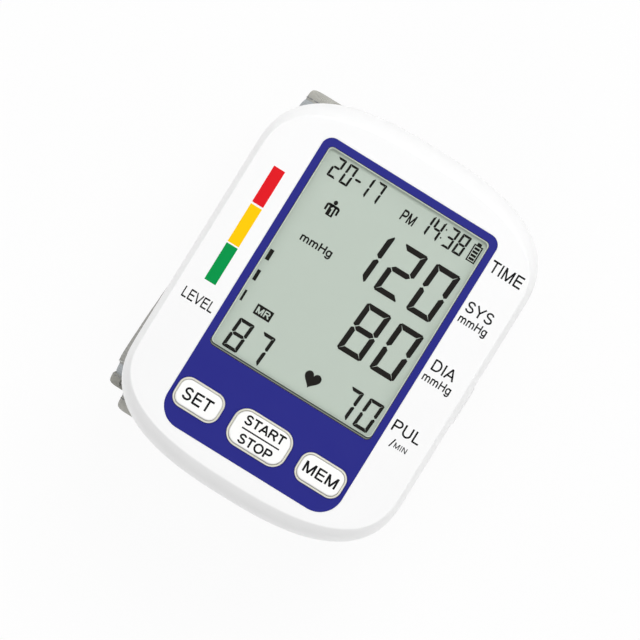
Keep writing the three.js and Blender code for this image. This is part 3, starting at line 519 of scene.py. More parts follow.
def hook_nylon(base):
    """Woven hook tape: a stiff field of tiny hooks in rows, drawn as raised cells."""
    stuff = Stuff("Woven_hook_tape", True, Roughness=0.6)
    cells = add(stuff.tree, "ShaderNodeTexVoronoi", {"Scale": per(0.7), "Randomness": 0.55},
                {"Vector": stuff.place()}).outputs["Distance"]
    # Painted light and shade: lighter on the raised cells and darker between them
    stuff.tint(cells, base, 1.15, 0.6)
    stuff.bump(spread(stuff.tree, cells, 1.0, 0.0, 0.0, 0.6), 0.4)
    return stuff.made


def turned_steel():
    """Nickel-plated steel: bright, with fine turning marks."""
    return moulded("Nickel_plated_steel", colour("#bcbfc3"), 0.28, 0.3, 0.004, Metallic=1.0)


def solder_mask():
    """Glass-fibre board under green solder mask: glossy, with the weave just showing."""
    return moulded("Solder_masked_board", colour("#1f6b43"), 0.3, 0.8, 0.01)


def textured_black():
    """Spark-eroded black ABS: matt, with a fine sandy grain."""
    return moulded("Textured_black_ABS", colour("#1c1c1e"), 0.55, 0.35, 0.02)


def silicone(name, text):
    """Moulded silicone rubber: soft matt with a dusty bloom."""
    return moulded(name, colour(text), 0.7, 0.8, 0.01, Specular_IOR_Level=0.35)


def jacket_print():
    """Shrunk plastic cell jacket: satin with faint wrinkles."""
    return moulded("Shrink_sleeve_jacket", colour("#3d5a70"), 0.32, 2.2, 0.02, Metallic=0.35)


def stamped_core():
    """Die-cut polypropylene: milky and slightly waxy."""
    return moulded("Die_cut_polypropylene", colour("#d8d8d4"), 0.45, 1.2, 0.008)


def backdrop_paper(base):
    """White backdrop paper: matt, and seen by the camera and in reflections as evenly bright."""
    stuff = Stuff("Backdrop_paper", Base_Color=base, Roughness=0.9, Specular_IOR_Level=0.1)
    path = add(stuff.tree, "ShaderNodeLightPath").outputs
    mirrored = stuff.combined("MAXIMUM", path["Is Glossy Ray"], path["Is Transmission Ray"])
    seen = stuff.combined("MAXIMUM", path["Is Camera Ray"], mirrored)
    plain = add(stuff.tree, "ShaderNodeEmission", {"Color": (1, 1, 1, 1), "Strength": 1.0})
    stuff.mix_out(stuff.times(seen, SHOWN_WHITE), stuff.shader.outputs["BSDF"], plain.outputs["Emission"])
    return stuff.made


# Materials that are made already
MADE = {}


def once(maker, *values):
    """One material for all pieces of the same stuff."""
    key = (maker.__name__, *(value if isinstance(value, str) else tuple(value) for value in values))
    if key not in MADE:
        MADE[key] = maker(*values)
    return MADE[key]


# Frame nodes that keep their own shape, and the finish of each
CARRIED = {
    "steel": ("case_screw_1", "case_screw_2", "case_screw_3", "case_screw_4", "contact_link",
              "battery_spring_1", "battery_spring_2", "contact_plate_1", "contact_plate_2",
              "pump_motor", "pump_crank", "valve_plunger", "cuff_screw_1", "cuff_screw_2"),
    "board_green": ("circuit_board",),
    "black_plastic": ("processor_chip", "set_switch", "start_stop_switch", "memory_switch", "set_plunger",
                      "start_stop_plunger", "memory_plunger", "pump_head", "air_manifold", "valve_body",
                      "pressure_sensor", "cuff_air_stub"),
    "grey_rubber": ("display_connector", "pump_diaphragm"),
    "milky_silicone": ("pump_hose", "sensor_hose"),
    "cell_jacket": ("battery_1", "battery_2"),
    "core_plastic": ("cuff_core",),
    "display_green": ("display_glass",),
}


class CarriedFinishes(bpy.types.Operator):
    """Give every frame node that stays in sight its real finish"""
    bl_idname = "monitor.carried_finishes"
    bl_label = "Finishes of the frame's own nodes"

    def execute(self, context):
        finishes = {
            "steel": turned_steel(),
            "board_green": solder_mask(),
            "black_plastic": textured_black(),
            "grey_rubber": silicone("Grey_conductive_rubber", "#8b8d8f"),
            "milky_silicone": silicone("Milky_silicone_tube", "#e4e2da"),
            "cell_jacket": jacket_print(),
            "core_plastic": stamped_core(),
            "display_green": once(reflective_display, context.scene.monitor_display.ground),
        }
        for slot, nodes in CARRIED.items():
            for node in nodes:
                mesh = frame["nodes"][node].data
                mesh.materials.clear()
                mesh.materials.append(finishes[slot])
        return {"FINISHED"}


# Case: where its convex edge starts, how far and over what height the skirt draws in, and the wrist's saddle
EDGE_START = math.radians(28)
SKIRT_INSET, SKIRT_ROUND = 5 * MM, 11 * MM
SADDLE_RADIUS = 42 * MM
SADDLE_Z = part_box("cuff_cover")[1].z - 41.7 * MM
SEAM_CHAMFER = 0.22 * MM
# How far a cutter runs past what it cuts, and the gap round the door and behind the keys
OVERRUN, CLEARANCE = 1 * MM, 0.25 * MM
# Screws with their bosses, heads and holes, then the battery bay, the ridges on its cover and the panel's soft edge
SCREW_PLACES = [(x * 17 * MM, y * 37 * MM) for x, y in ((1, 1), (-1, 1), (-1, -1), (1, -1))]
BOSS_RADIUS = 3 * MM
BOSS_MEET_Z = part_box("case_top")[0].z
HEAD_RADIUS, SHANK_RADIUS, THREAD_RADIUS = 2.3 * MM, 1.2 * MM, 1.15 * MM
BAY_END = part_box("contact_link")[1].y
BAY_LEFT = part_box("battery_1")[0].x - 2 * MM
BAY_WALL = 1.2 * MM
RIDGE, RIDGE_PITCH, RIDGE_REACH = 0.35 * MM, 1.6 * MM, 4.5 * MM
FILM_EDGE = 0.05 * MM


def case_outline(case, inset=0.0):
    """The case's full width and length, drawn in."""
    return bowed_outline(CASE_WIDTH - 2 * inset, CASE_LENGTH - 2 * inset, case)


def edge_rings(case, inset, top_z, steps):
    """The convex edge from the full width up to the flat face's rim."""
    rings = []
    for step in range(steps, -1, -1):
        angle = EDGE_START + (math.pi / 2 - EDGE_START) * step / steps
        full = (math.sin(angle) - math.sin(EDGE_START)) / (1 - math.sin(EDGE_START))
        width = CASE_WIDTH - 2 * case.side_band * (1 - full) - 2 * inset
        whole = CASE_LENGTH - 2 * case.end_band * (1 - full) - 2 * inset
        z = top_z - case.edge_drop * (1 - math.cos(angle) / math.cos(EDGE_START))
        rings.append((bowed_outline(width, whole, case), z))
    return rings


def skirt_rings(case, inset, low_z, steps):
    """The rounded skirt from its underside up to the full width."""
    rings = []
    for step in range(steps + 1):
        angle = math.pi / 2 * step / steps
        rings.append((case_outline(case, SKIRT_INSET * (1 - math.sin(angle)) + inset),
                      low_z + SKIRT_ROUND * (1 - math.cos(angle))))
    return rings


def wrist_cylinder(radius):
    bpy.ops.mesh.primitive_cylinder_add(
        vertices=256, radius=radius, depth=CASE_LENGTH + 4 * OVERRUN, location=(0, 0, SADDLE_Z),
        rotation=(math.pi / 2, 0, 0))
    return settle(bpy.context.object)


def copy_of(obj):
    other = obj.copy()
    other.data = obj.data.copy()
    bpy.context.scene.collection.objects.link(other)
    return other


def bevel_at(obj, level, width, segments):
    """Rounds the edges of the flat face at this height."""
    focus(obj)
    bpy.ops.object.mode_set(mode="EDIT")
    bpy.ops.mesh.select_all(action="DESELECT")
    bpy.ops.object.mode_set(mode="OBJECT")
    for face in obj.data.polygons:
        face.select = len(face.vertices) > 4 and abs(face.center.z - level) < 0.01 * MM
    bpy.ops.object.mode_set(mode="EDIT")
    bpy.ops.mesh.bevel(offset=width, segments=segments, affect="EDGES", clamp_overlap=True)
    bpy.ops.object.mode_set(mode="OBJECT")


def boxed_outline(low, high, margin, top_round, bottom_round=0.0, steps=10):
    """The rounded rectangle between two corners, with its sides and roundings grown by a margin."""
    return rounded_outline(
        high[0] - low[0] + 2 * margin, high[1] - low[1] + 2 * margin, top_round + margin,
        (bottom_round or top_round) + margin, ((low[0] + high[0]) / 2, (low[1] + high[1]) / 2), steps)


def window_outline(margin):
    return boxed_outline(WINDOW_LOW, WINDOW_HIGH, margin, 1.2 * MM)


def panel_outline(margin):
    return boxed_outline(PANEL_LOW, PANEL_HIGH, margin, 2.4 * MM, 5.4 * MM, 16)


# Each key's size, the width of its letters' pen and its words with their left, right, low and high, in millimetres
KEYS = {
    "set": {"width": 11.1, "height": 6.9, "round": 2.5, "pen": 0.17, "words": [
        ("SET", -18.69, -11.76, -30.2, -27.3)]},
    "start_stop": {"width": 14.15, "height": 8.6, "round": 3.1, "pen": 0.2, "words": [
        ("START", -4.46, 5.24, -27.85, -25.6), ("STOP", -3.7, 4.39, -31.95, -29.7)]},
    "memory": {"width": 11.1, "height": 6.9, "round": 2.5, "pen": 0.17, "words": [
        ("MEM", 11.38, 19.47, -29.9, -27.3)]},
}
DIVIDING_LINE = (-4.2, 5.05, -28.91, -28.59)


def key_outline(key, inset):
    """A key's outline about the middle of its solid, drawn in."""
    low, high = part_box(key + "_button")
    width, height, rounding = (KEYS[key][part] * MM for part in ("width", "height", "round"))
    return rounded_outline(width - 2 * inset, height - 2 * inset, max(rounding - inset, 0.2 * MM),
                           centre=((low.x + high.x) / 2, (low.y + high.y) / 2))


class UpperShell(bpy.types.Operator):
    """Mould the upper shell: flat face with a crisp rim, convex edge, recess for the panel"""
    bl_idname = "monitor.upper_shell"
    bl_label = "Upper shell"

    def execute(self, context):
        case = context.scene.monitor_case
        low = PARTING_HIGH_Z
        rings = list(reversed(edge_rings(case, case.wall, FACE_UNDER_Z, 8)))
        rings += [(case_outline(case, case.wall), low), (case_outline(case, SEAM_CHAMFER), low),
                  (case_outline(case), low + SEAM_CHAMFER)]
        shell = loft("upper_shell", rings + edge_rings(case, 0, FACE_Z, 14))
        bevel_at(shell, FACE_Z, case.rim, 4)

        bosses = [rod_solid(BOSS_RADIUS, BOSS_MEET_Z, PANEL_UNDER_Z - 0.3 * MM, p) for p in SCREW_PLACES]
        combine(shell, join("bosses", bosses), "UNION")
        cutters = [rod_solid(THREAD_RADIUS, BOSS_MEET_Z - OVERRUN, FACE_UNDER_Z - 5 * MM, p) for p in SCREW_PLACES]
        cutters += [prism(outline, FACE_UNDER_Z - OVERRUN, PANEL_UNDER_Z + OVERRUN / 2)
                    for outline in [window_outline(1.1 * MM)] + [key_outline(key, -CLEARANCE) for key in KEYS]]
        combine(shell, join("cutters", cutters), "DIFFERENCE")
        recess = prism(panel_outline(0.03 * MM), PANEL_UNDER_Z, FACE_Z, FILM_EDGE, panel_outline(0.07 * MM))
        combine(shell, recess, "DIFFERENCE")
        finish_piece(tidy(shell), once(gloss_abs, case.plastic), "monitor", ("case_top",))
        return {"FINISHED"}


class LowerShell(bpy.types.Operator):
    """Mould the lower shell with its saddle, battery bay and screw pockets, and the battery cover"""
    bl_idname = "monitor.lower_shell"
    bl_label = "Lower shell and battery cover"

    def execute(self, context):
        case = context.scene.monitor_case
        low, high = CASE_LOW.z, CASE_HIGH.z
        outside = loft("outside", skirt_rings(case, 0, low, 14) + [
            (case_outline(case), high - SEAM_CHAMFER), (case_outline(case, SEAM_CHAMFER), high)])
        bevel_at(outside, low, 0.7 * MM, 3)
        combine(outside, wrist_cylinder(SADDLE_RADIUS), "DIFFERENCE")
        inside_rings = skirt_rings(case, case.wall, low + case.wall, 8)
        inside = loft("inside", inside_rings + [(inside_rings[-1][0], high + 4 * MM)])
        combine(inside, wrist_cylinder(SADDLE_RADIUS + case.wall), "DIFFERENCE")
        shell = copy_of(outside)
        combine(shell, inside, "DIFFERENCE")

        door_low = [DOOR_LOW.x, DOOR_LOW.y, DOOR_LOW.z]
        door_high = [CASE_WIDTH, DOOR_HIGH.y, DOOR_HIGH.z]
        cover = copy_of(shell)
        combine(cover, box_solid(door_low, door_high), "INTERSECT")

        top = high - 0.3 * MM
        bay_start = BAY_LEFT - BAY_WALL
        walls = join("walls", [
            box_solid((bay_start, BAY_END, low), (CASE_WIDTH / 2, BAY_END + BAY_WALL, top)),
            box_solid((bay_start, -BAY_END - BAY_WALL, low), (CASE_WIDTH / 2, -BAY_END, top)),
        ] + [rod_solid(BOSS_RADIUS, low, BOSS_MEET_Z - 0.3 * MM, p) for p in SCREW_PLACES])
        combine(walls, copy_of(outside), "INTERSECT")
        combine(shell, walls, "UNION")
        side = box_solid((bay_start, -BAY_END - BAY_WALL / 2, low), (BAY_LEFT, BAY_END + BAY_WALL / 2, top))
        combine(side, outside, "INTERSECT")
        combine(shell, side, "UNION")
        cutters = [box_solid([v - CLEARANCE for v in door_low], [v + CLEARANCE for v in door_high])]
        for place in SCREW_PLACES:
            seat = SADDLE_Z + math.sqrt(SADDLE_RADIUS ** 2 - place[0] ** 2) + 5 * MM
            cutters.append(rod_solid(HEAD_RADIUS, low - OVERRUN, seat, place))
            cutters.append(rod_solid(SHANK_RADIUS, seat - OVERRUN, BOSS_MEET_Z + OVERRUN, place))
        combine(shell, join("cutters", cutters), "DIFFERENCE")
        shell.name = "lower_shell"
        finish_piece(tidy(shell), once(gloss_abs, case.plastic), "monitor", ("case_bottom",))

        outer_x = CASE_WIDTH / 2
        for i in range(4):
            z = (DOOR_LOW.z + DOOR_HIGH.z) / 2 + (i - 1.5) * RIDGE_PITCH
            ridge = box_solid((outer_x - OVERRUN, -RIDGE_REACH, z - RIDGE), (outer_x + RIDGE, RIDGE_REACH, z + RIDGE))
            modify(ridge, "BEVEL", width=0.22 * MM, segments=3)
            combine(cover, ridge, "UNION")
        cover.name = "battery_cover"
        finish_piece(tidy(cover), once(gloss_abs, case.plastic), "door", ("battery_door",))
        return {"FINISHED"}


class FrontPanel(bpy.types.Operator):
    """Cut the blue front panel with its window and key openings"""
    bl_idname = "monitor.front_panel"
    bl_label = "Front panel"

    def execute(self, context):
        edge = FILM_EDGE
        panel = loft("printed_panel", [
            (panel_outline(0), PANEL_LOW.z), (panel_outline(0), FACE_Z - edge),
            (panel_outline(-edge / 2), FACE_Z - edge / 4), (panel_outline(-edge), FACE_Z)])
        mouths = [(window_outline(0), window_outline(edge))]
        mouths += [(key_outline(key, -0.06 * MM), key_outline(key, -0.06 * MM - edge)) for key in KEYS]
        cutters = [prism(outline, PANEL_LOW.z - OVERRUN, FACE_Z, edge, grown) for outline, grown in mouths]
        combine(panel, join("cutters", cutters), "DIFFERENCE")
        film = once(printed_film, context.scene.monitor_case.panel)
        finish_piece(tidy(panel), film, "monitor", ("front_panel",))
        return {"FINISHED"}


def ring_piece(name, outer, inner, low, high):
    """A flat ring between two outlines of equal count."""
    count = len(outer)
    points = [(x, y, z) for outline, z in ((outer, low), (outer, high), (inner, high), (inner, low))
              for x, y in outline]
    faces = [face for level in range(4) for face in band(level * count, (level + 1) % 4 * count, count)]
    return mesh_object(name, points, faces)


def flat_shape(outline, low, high):
    """A thin solid shape from a flat outline."""
    count = len(outline)
    points = [(x, y, z) for z in (low, high) for x, y in outline]
    faces = [tuple(reversed(range(count))), tuple(range(count, 2 * count))] + band(0, count, count)
    return outward(mesh_object("shape", points, faces))


# Plain sans letters as pen strokes, in units of the capital's height: advance, left bearing and strokes.
# A stroke is a run of points; (x, y, rx, ry, start, end) is an arc in degrees.
STEM = (0.066, 0), (0.066, 1)
LETTERS = {
    "T": (0.853, 0.03, [[(0, 0.94), (0.8, 0.94)], [(0.4, 0.97), (0.4, 0)]]),
    "I": (0.388, 0.13, [STEM]),
    "M": (1.163, 0.10, [STEM, [(0.08, 0.98), (0.475, 0.03), (0.87, 0.98)], [(0.884, 0), (0.884, 1)]]),
    "E": (0.932, 0.11, [STEM, [(0.05, 0.94), (0.73, 0.94)], [(0.05, 0.52), (0.69, 0.52)],
                        [(0.05, 0.06), (0.75, 0.06)]]),
    "S": (0.932, 0.065, [[(0.4, 0.735, 0.27, 0.215, 12, 262), (0.4, 0.275, 0.31, 0.225, 82, -170)]]),
    "Y": (0.932, 0.0, [[(0.05, 1), (0.46, 0.44), (0.87, 1)], [(0.46, 0.46), (0.46, 0)]]),
    "D": (1.008, 0.11, [STEM, [(0.05, 0.94), (0.38, 0.5, 0.385, 0.44, 90, -90), (0.05, 0.06)]]),
    "A": (0.932, 0.0, [[(0.05, 0), (0.465, 0.97), (0.88, 0)], [(0.17, 0.33), (0.76, 0.33)]]),
    "P": (0.932, 0.11, [STEM, [(0.05, 0.94), (0.46, 0.7, 0.24, 0.24, 90, -90), (0.05, 0.46)]]),
    "U": (1.008, 0.11, [[(0.066, 1), (0.395, 0.36, 0.329, 0.3, 180, 360), (0.724, 1)]]),
    "L": (0.777, 0.10, [STEM, [(0.05, 0.06), (0.62, 0.06)]]),
    "N": (1.008, 0.106, [STEM, [(0.08, 0.98), (0.71, 0.02)], [(0.724, 0), (0.724, 1)]]),
    "R": (1.008, 0.11, [STEM, [(0.05, 0.94), (0.5, 0.72, 0.24, 0.22, 90, -90), (0.05, 0.5)],
                        [(0.44, 0.5), (0.8, 0.01)]]),
    "O": (1.087, 0.067, [[(0.48, 0.5, 0.414, 0.45, -95, 95)], [(0.48, 0.5, 0.414, 0.45, 85, 275)]]),
    "V": (0.932, 0.0, [[(0.05, 1), (0.46, 0.03), (0.87, 1)]]),
    "H": (1.008, 0.11, [STEM, [(0.724, 0), (0.724, 1)], [(0.05, 0.53), (0.74, 0.53)]]),
    "m": (1.163, 0.09, [[(0.06, 0), (0.06, 0.72)], [(0.27, 0.44, 0.21, 0.22, 175, 0), (0.48, 0)],
                        [(0.69, 0.44, 0.21, 0.22, 175, 0), (0.9, 0)]]),
    "g": (0.777, 0.045, [[(0.32, 0.36, 0.255, 0.31, 0, 360)],
                         [(0.575, 0.72), (0.32, -0.04, 0.255, 0.19, 0, -165)]]),
    "/": (0.388, 0.0, [[(0.04, 0), (0.35, 1)]]),
    "1": (0.777, 0.15, [[(0.06, 0.72), (0.3, 0.97)], [(0.3, 1), (0.3, 0)]]),
}


def pen_path(stroke):
    """A stroke's points with its arcs drawn out."""
    points = []
    for part in stroke:
        if len(part) == 2:
            points.append(part)
            continue
        x, y, rx, ry, start, end = part
        steps = max(6, round(abs(end - start) / 12))
        for i in range(steps + 1):
            angle = math.radians(start + (end - start) * i / steps)
            points.append((x + rx * math.cos(angle), y + ry * math.sin(angle)))
    return points


def pen_outline(points, half):
    """The outline of a pen drawn along points, with mitred or, where sharp, cut corners."""
    sides = []
    for sign in (1, -1):
        side = []
        for i, (x, y) in enumerate(points):
            ways = []
            for first, last in ((i - 1, i), (i, i + 1)):
                if 0 <= first and last < len(points):
                    dx, dy = points[last][0] - points[first][0], points[last][1] - points[first][1]
                    size = math.hypot(dx, dy)
                    ways.append((-dy / size * sign, dx / size * sign))
            nx, ny = sum(w[0] for w in ways) / len(ways), sum(w[1] for w in ways) / len(ways)
            square = nx * nx + ny * ny
            mitred = square > 0.3
            if not mitred:
                turned = (ways[1][0] - ways[0][0]) * (x - points[i - 1][0])
                mitred = turned + (ways[1][1] - ways[0][1]) * (y - points[i - 1][1]) < 0
            if mitred:
                side.append((x + nx / square * half, y + ny / square * half))
            else:
                side += [(x + w[0] * half, y + w[1] * half) for w in ways]
        sides.append(side)
    return sides[0] + sides[1][::-1]


# Print is this thick, and each stroke a little thicker than the last, so that no two tops lie in one plane
PRINT = 0.02 * MM
STROKE_STEP = 0.0004 * MM


def lettering(text, left, right, low, high, base, pen, slant=0.0):
    """Words as thin solid letters that fill this rectangle, in millimetres, at a level in metres."""
    outlines, start = [], 0.0
    for letter in text:
        advance, bearing, strokes = LETTERS[letter]
        for stroke in strokes:
            outline = pen_outline(pen_path(stroke), pen / 2)
            outlines.append([(start + bearing + x + slant * y, y) for x, y in outline])
        start += advance
    xs = [x for outline in outlines for x, y in outline]
    ys = [y for outline in outlines for x, y in outline]
    wide, tall = (right - left) / (max(xs) - min(xs)), (high - low) / (max(ys) - min(ys))
    shapes = []
    for i, outline in enumerate(outlines):
        fitted = [((left + (x - min(xs)) * wide) * MM, (low + (y - min(ys)) * tall) * MM) for x, y in outline]
        shapes.append(flat_shape(fitted, base, base + PRINT + STROKE_STEP * i))
    return join("letters", shapes)


def plate(left, right, low, high):
    """A rectangle's outline, given in millimetres."""
    return [(x * MM, y * MM) for x, y in ((left, low), (right, low), (right, high), (left, high))]


# Keys: a rim with a flange behind the panel, and a cap inside it
FLANGE = 0.7 * MM
RIM_STANDS = 0.34 * MM
RIM_SOFT = 0.14 * MM
RIM_EDGE = 0.05 * MM
CAP_ROUND = 0.42 * MM
FOOT_Z = FACE_Z - 0.25 * MM


class Keys(bpy.types.Operator):
    """Mould the three keys: a pale rim, a white cap with a rounded edge, and its printed words"""
    bl_idname = "monitor.keys"
    bl_label = "Keys"

    def execute(self, context):
        keys = context.scene.monitor_keys
        flange_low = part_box("set_button")[0].z
        rim_top = FACE_Z + RIM_STANDS
        top = FACE_Z + keys.crown
        rim_steps = (
            (-FLANGE, flange_low), (-FLANGE, flange_low + FLANGE), (0, flange_low + FLANGE),
            (0, rim_top - RIM_SOFT), (0.3 * RIM_SOFT, rim_top - 0.3 * RIM_SOFT), (RIM_SOFT, rim_top),
            (keys.frame - RIM_EDGE, rim_top), (keys.frame, rim_top - RIM_EDGE), (keys.frame, FOOT_Z))
        inset = keys.frame + keys.gap
        cap_steps = [(inset, FOOT_Z)]
        for step in range(7):
            turn = math.pi / 2 * step / 6
            cap_steps.append((inset + CAP_ROUND * (1 - math.cos(turn)), top - CAP_ROUND * (1 - math.sin(turn))))
        for key, parts in KEYS.items():
            rim = tidy(loft(key + "_rim", [(key_outline(key, drawn), z) for drawn, z in rim_steps]), 40)
            finish_piece(rim, once(key_plastic, "Cream_key_rim", keys.surround), key + "_key",
                         (key + "_button",))
            cap = tidy(loft(key + "_cap", [(key_outline(key, drawn), z) for drawn, z in cap_steps]), 40)
            finish_piece(cap, once(key_plastic, "White_key_cap", keys.cap), key + "_key")
            words = [lettering(*line, top - PRINT / 2, parts["pen"]) for line in parts["words"]]
            if key == "start_stop":
                words.append(flat_shape(plate(*DIVIDING_LINE), top - PRINT / 2, top + PRINT / 2))
            legend = join(key + "_legend", words)
            finish_piece(legend, once(ink, "Black_pad_print", keys.legend), key + "_key")
        return {"FINISHED"}


# The scale's bars with their low and high ends, and the labels, in millimetres
BARS = (("red", "#df1822", 13.24, 22.2), ("yellow", "#fcc800", 3.35, 12.8), ("green", "#009247", -6.1, 3.03))
BAR_LEFT, BAR_RIGHT = -27.66 * MM, -24.9 * MM
LABELS = (
    ("TIME", 22.75, 30.6, 27.05, 29.85), ("SYS", 22.9, 29.35, 17.2, 19.85), ("mmHg", 22.8, 29.65, 14.0, 16.5),
    ("DIA", 23.35, 28.9, 2.75, 5.4), ("mmHg", 22.8, 29.65, -0.55, 1.95), ("PUL", 22.9, 29.65, -12.55, -9.85),
    ("/", 24.3, 25.16, -15.83, -13.7), ("MIN", 25.36, 28.35, -15.5, -14.24), ("LEVEL", -30.1, -22.6, -11.75, -9.25))


class FacePrint(bpy.types.Operator):
    """Pad-print the colour scale and the labels beside the panel"""
    bl_idname = "monitor.face_print"
    bl_label = "Printed scale and labels"

    def execute(self, context):
        base, top = FACE_Z - PRINT / 2, FACE_Z + PRINT / 2
        for name, tint, low, high in BARS:
            bar = box_solid((BAR_LEFT, low * MM, base), (BAR_RIGHT, high * MM, top), "scale_" + name)
            modify(bar, "BEVEL", width=0.004 * MM, segments=1)
            finish_piece(bar, once(ink, name.capitalize() + "_pad_print", colour(tint)), "monitor")
        words = [lettering(*label, base, 0.17 if label[0] == "mmHg" else 0.152) for label in LABELS]
        finish_piece(join("face_labels", words), once(ink, "Black_pad_print", context.scene.monitor_keys.legend),
                     "monitor")
        return {"FINISHED"}


# Display: segments, icons and words lie just above the front glass, under the window

SEGMENT_LEAN = 0.065
LIT = {
    "0": "abcdef", "1": "bc", "2": "abged", "3": "abcdg", "4": "fgbc", "7": "abc", "8": "abcdefg", "-": "g"}
# Lines of characters: low, high and segment width, then each character with its left and right, in millimetres
READINGS = (
    (10.96, 22.87, 1.25, (("1", -4.31, 2.5), ("2", 3.88, 10.69), ("0", 12.02, 18.83))),
    (-3.83, 8.03, 1.25, (("8", 3.88, 10.69), ("0", 12.02, 18.83))),
    (-16.12, -8.99, 0.78, (("8", -17.23, -13.09), ("7", -11.58, -7.82))),
    (-16.06, -8.99, 0.78, (("7", 10.6, 14.31), ("0", 15.37, 19.45))),
    (26.38, 31.17, 0.52, [(sign, left, left + 2.45) for sign, left in (
        ("2", -17.29), ("0", -14.31), ("-", -12.0), ("1", -10.0), ("7", -7.2),
        ("1", 5.2), ("4", 7.8), ("3", 11.2), ("8", 13.95))]))


def segment_shapes(sign, left, right, low, high, thick):
    """The lit segments of one character as slanted polygons in metres."""
    h = high - low
    w = right - left - SEGMENT_LEAN * h
    g = 0.09 * thick
    nip = 0.34 * thick
    mid = h / 2
    upper = [(w, h - nip), (w - 0.4 * thick + nip / 2, h - 0.35 * nip), (w - thick, h - thick - g),
             (w - thick, mid + thick / 2 + g), (w - 0.45 * thick, mid + g), (w, mid + 0.35 * thick)]
    across = [(nip, h), (w - nip, h), (w - 0.2 * thick - g, h - 0.22 * thick), (w - thick - g, h - thick),
              (thick + g, h - thick), (0.2 * thick + g, h - 0.22 * thick)]
    middle = [(0.45 * thick + g, mid), (thick + g, mid + thick / 2), (w - thick - g, mid + thick / 2),
              (w - 0.45 * thick - g, mid), (w - thick - g, mid - thick / 2), (thick + g, mid - thick / 2)]
    right_low = [(x, h - y) for x, y in reversed(upper)]
    shapes = {
        "a": across, "d": [(x, h - y) for x, y in reversed(across)], "g": middle, "b": upper, "c": right_low,
        "f": [(w - x, y) for x, y in reversed(upper)], "e": [(w - x, y) for x, y in reversed(right_low)]}
    return [[((left + x + SEGMENT_LEAN * y) * MM, (low + y) * MM) for x, y in shapes[key]] for key in LIT[sign]]


def oval(x, y, radius_x, radius_y, steps=32):
    return [((x + radius_x * math.cos(2 * math.pi * i / steps)) * MM,
             (y + radius_y * math.sin(2 * math.pi * i / steps)) * MM) for i in range(steps)]


def heart(left, right, low, high, steps=64):
    """A heart that fills this rectangle: its curve spans 32 across and 29 from its tip at -17."""
    points = []
    for i in range(steps):
        t = -2 * math.pi * i / steps
        x = 16 * math.sin(t) ** 3
        y = 13 * math.cos(t) - 5 * math.cos(2 * t) - 2 * math.cos(3 * t) - math.cos(4 * t)
        points.append((((left + right) / 2 + x / 32 * (right - left)) * MM,
                       (low + (y + 17) / 29 * (high - low)) * MM))
    return points


MARKS = [
    # Pointers at the left edge, the field behind the letters MR, the time's colon and the pulse's heart
    plate(-18.99, -18.03, 4.26, 6.81), plate(-18.99, -18.19, -0.85, 1.7), plate(-18.99, -18.46, -5.96, -3.4),
    plate(-15.1, -11.06, -6.92, -4.52), oval(10.75, 29.85, 0.17, 0.2), oval(10.55, 27.75, 0.17, 0.2),
    heart(1.22, 5.05, -14.47, -10.74),
    # A figure: head, trunk, arms and shoulders
    oval(-12.29, 22.33, 0.47, 0.5), plate(-13.1, -11.5, 19.1, 21.75), plate(-13.9, -13.42, 19.95, 21.4),
    plate(-11.18, -10.7, 19.95, 21.4),
    [(x * MM, y * MM) for x, y in (
        (-13.9, 21.2), (-13.42, 21.2), (-11.18, 21.2), (-10.7, 21.2), (-10.9, 21.6), (-11.3, 21.77),
        (-13.3, 21.77), (-13.7, 21.6))],
    # A battery: four walls, its cap and its charge
    plate(17.4, 17.7, 26.6, 30.6), plate(19.22, 19.52, 26.6, 30.6), plate(17.55, 19.37, 26.62, 26.9),
    plate(17.55, 19.37, 30.3, 30.58), plate(17.95, 18.95, 30.5, 31.15),
    *(plate(17.84, 19.08, 27.08 + 0.8 * i, 27.62 + 0.8 * i) for i in range(4)),
]
# Each ring's colour, height above the window and width at its left, right, top and bottom, in millimetres.
# The first ring is a dark seal. The second and third are painted shade, a grey and a dark band along the bottom edge.
# The fourth is a pale ring of painted highlight round the display
WINDOW_RINGS = (
    ("window_seal", "#3a2f1c", 0.9, (0.12, 0.12, 0.1, 0.16)),
    ("window_step_painted_shade", "#9aa196", 0.5, (0.13, 0.13, 0.11, 0.36)),
    ("window_groove_painted_shade", "#59645a", 0.3, (0.14, 0.14, 0.12, 0.68)),
    ("window_painted_highlight", "#dbe4d8", 0.8, (0.34, 0.34, 0.32, 0.74)))
# The clear sheet lies under the panel, and the display's front glass just under the sheet
SHEET_TOP_Z = PANEL_UNDER_Z - 0.05 * MM
SHEET_UNDER_Z = PANEL_UNDER_Z - 0.3 * MM
FRONT_Z = SHEET_UNDER_Z - 0.1 * MM


def shrunk_window(left, right, top, bottom):
    """The window's outline drawn in by these widths in millimetres."""
    return boxed_outline((WINDOW_LOW[0] + left * MM, WINDOW_LOW[1] + bottom * MM),
                         (WINDOW_HIGH[0] - right * MM, WINDOW_HIGH[1] - top * MM), 0, 1.0 * MM)


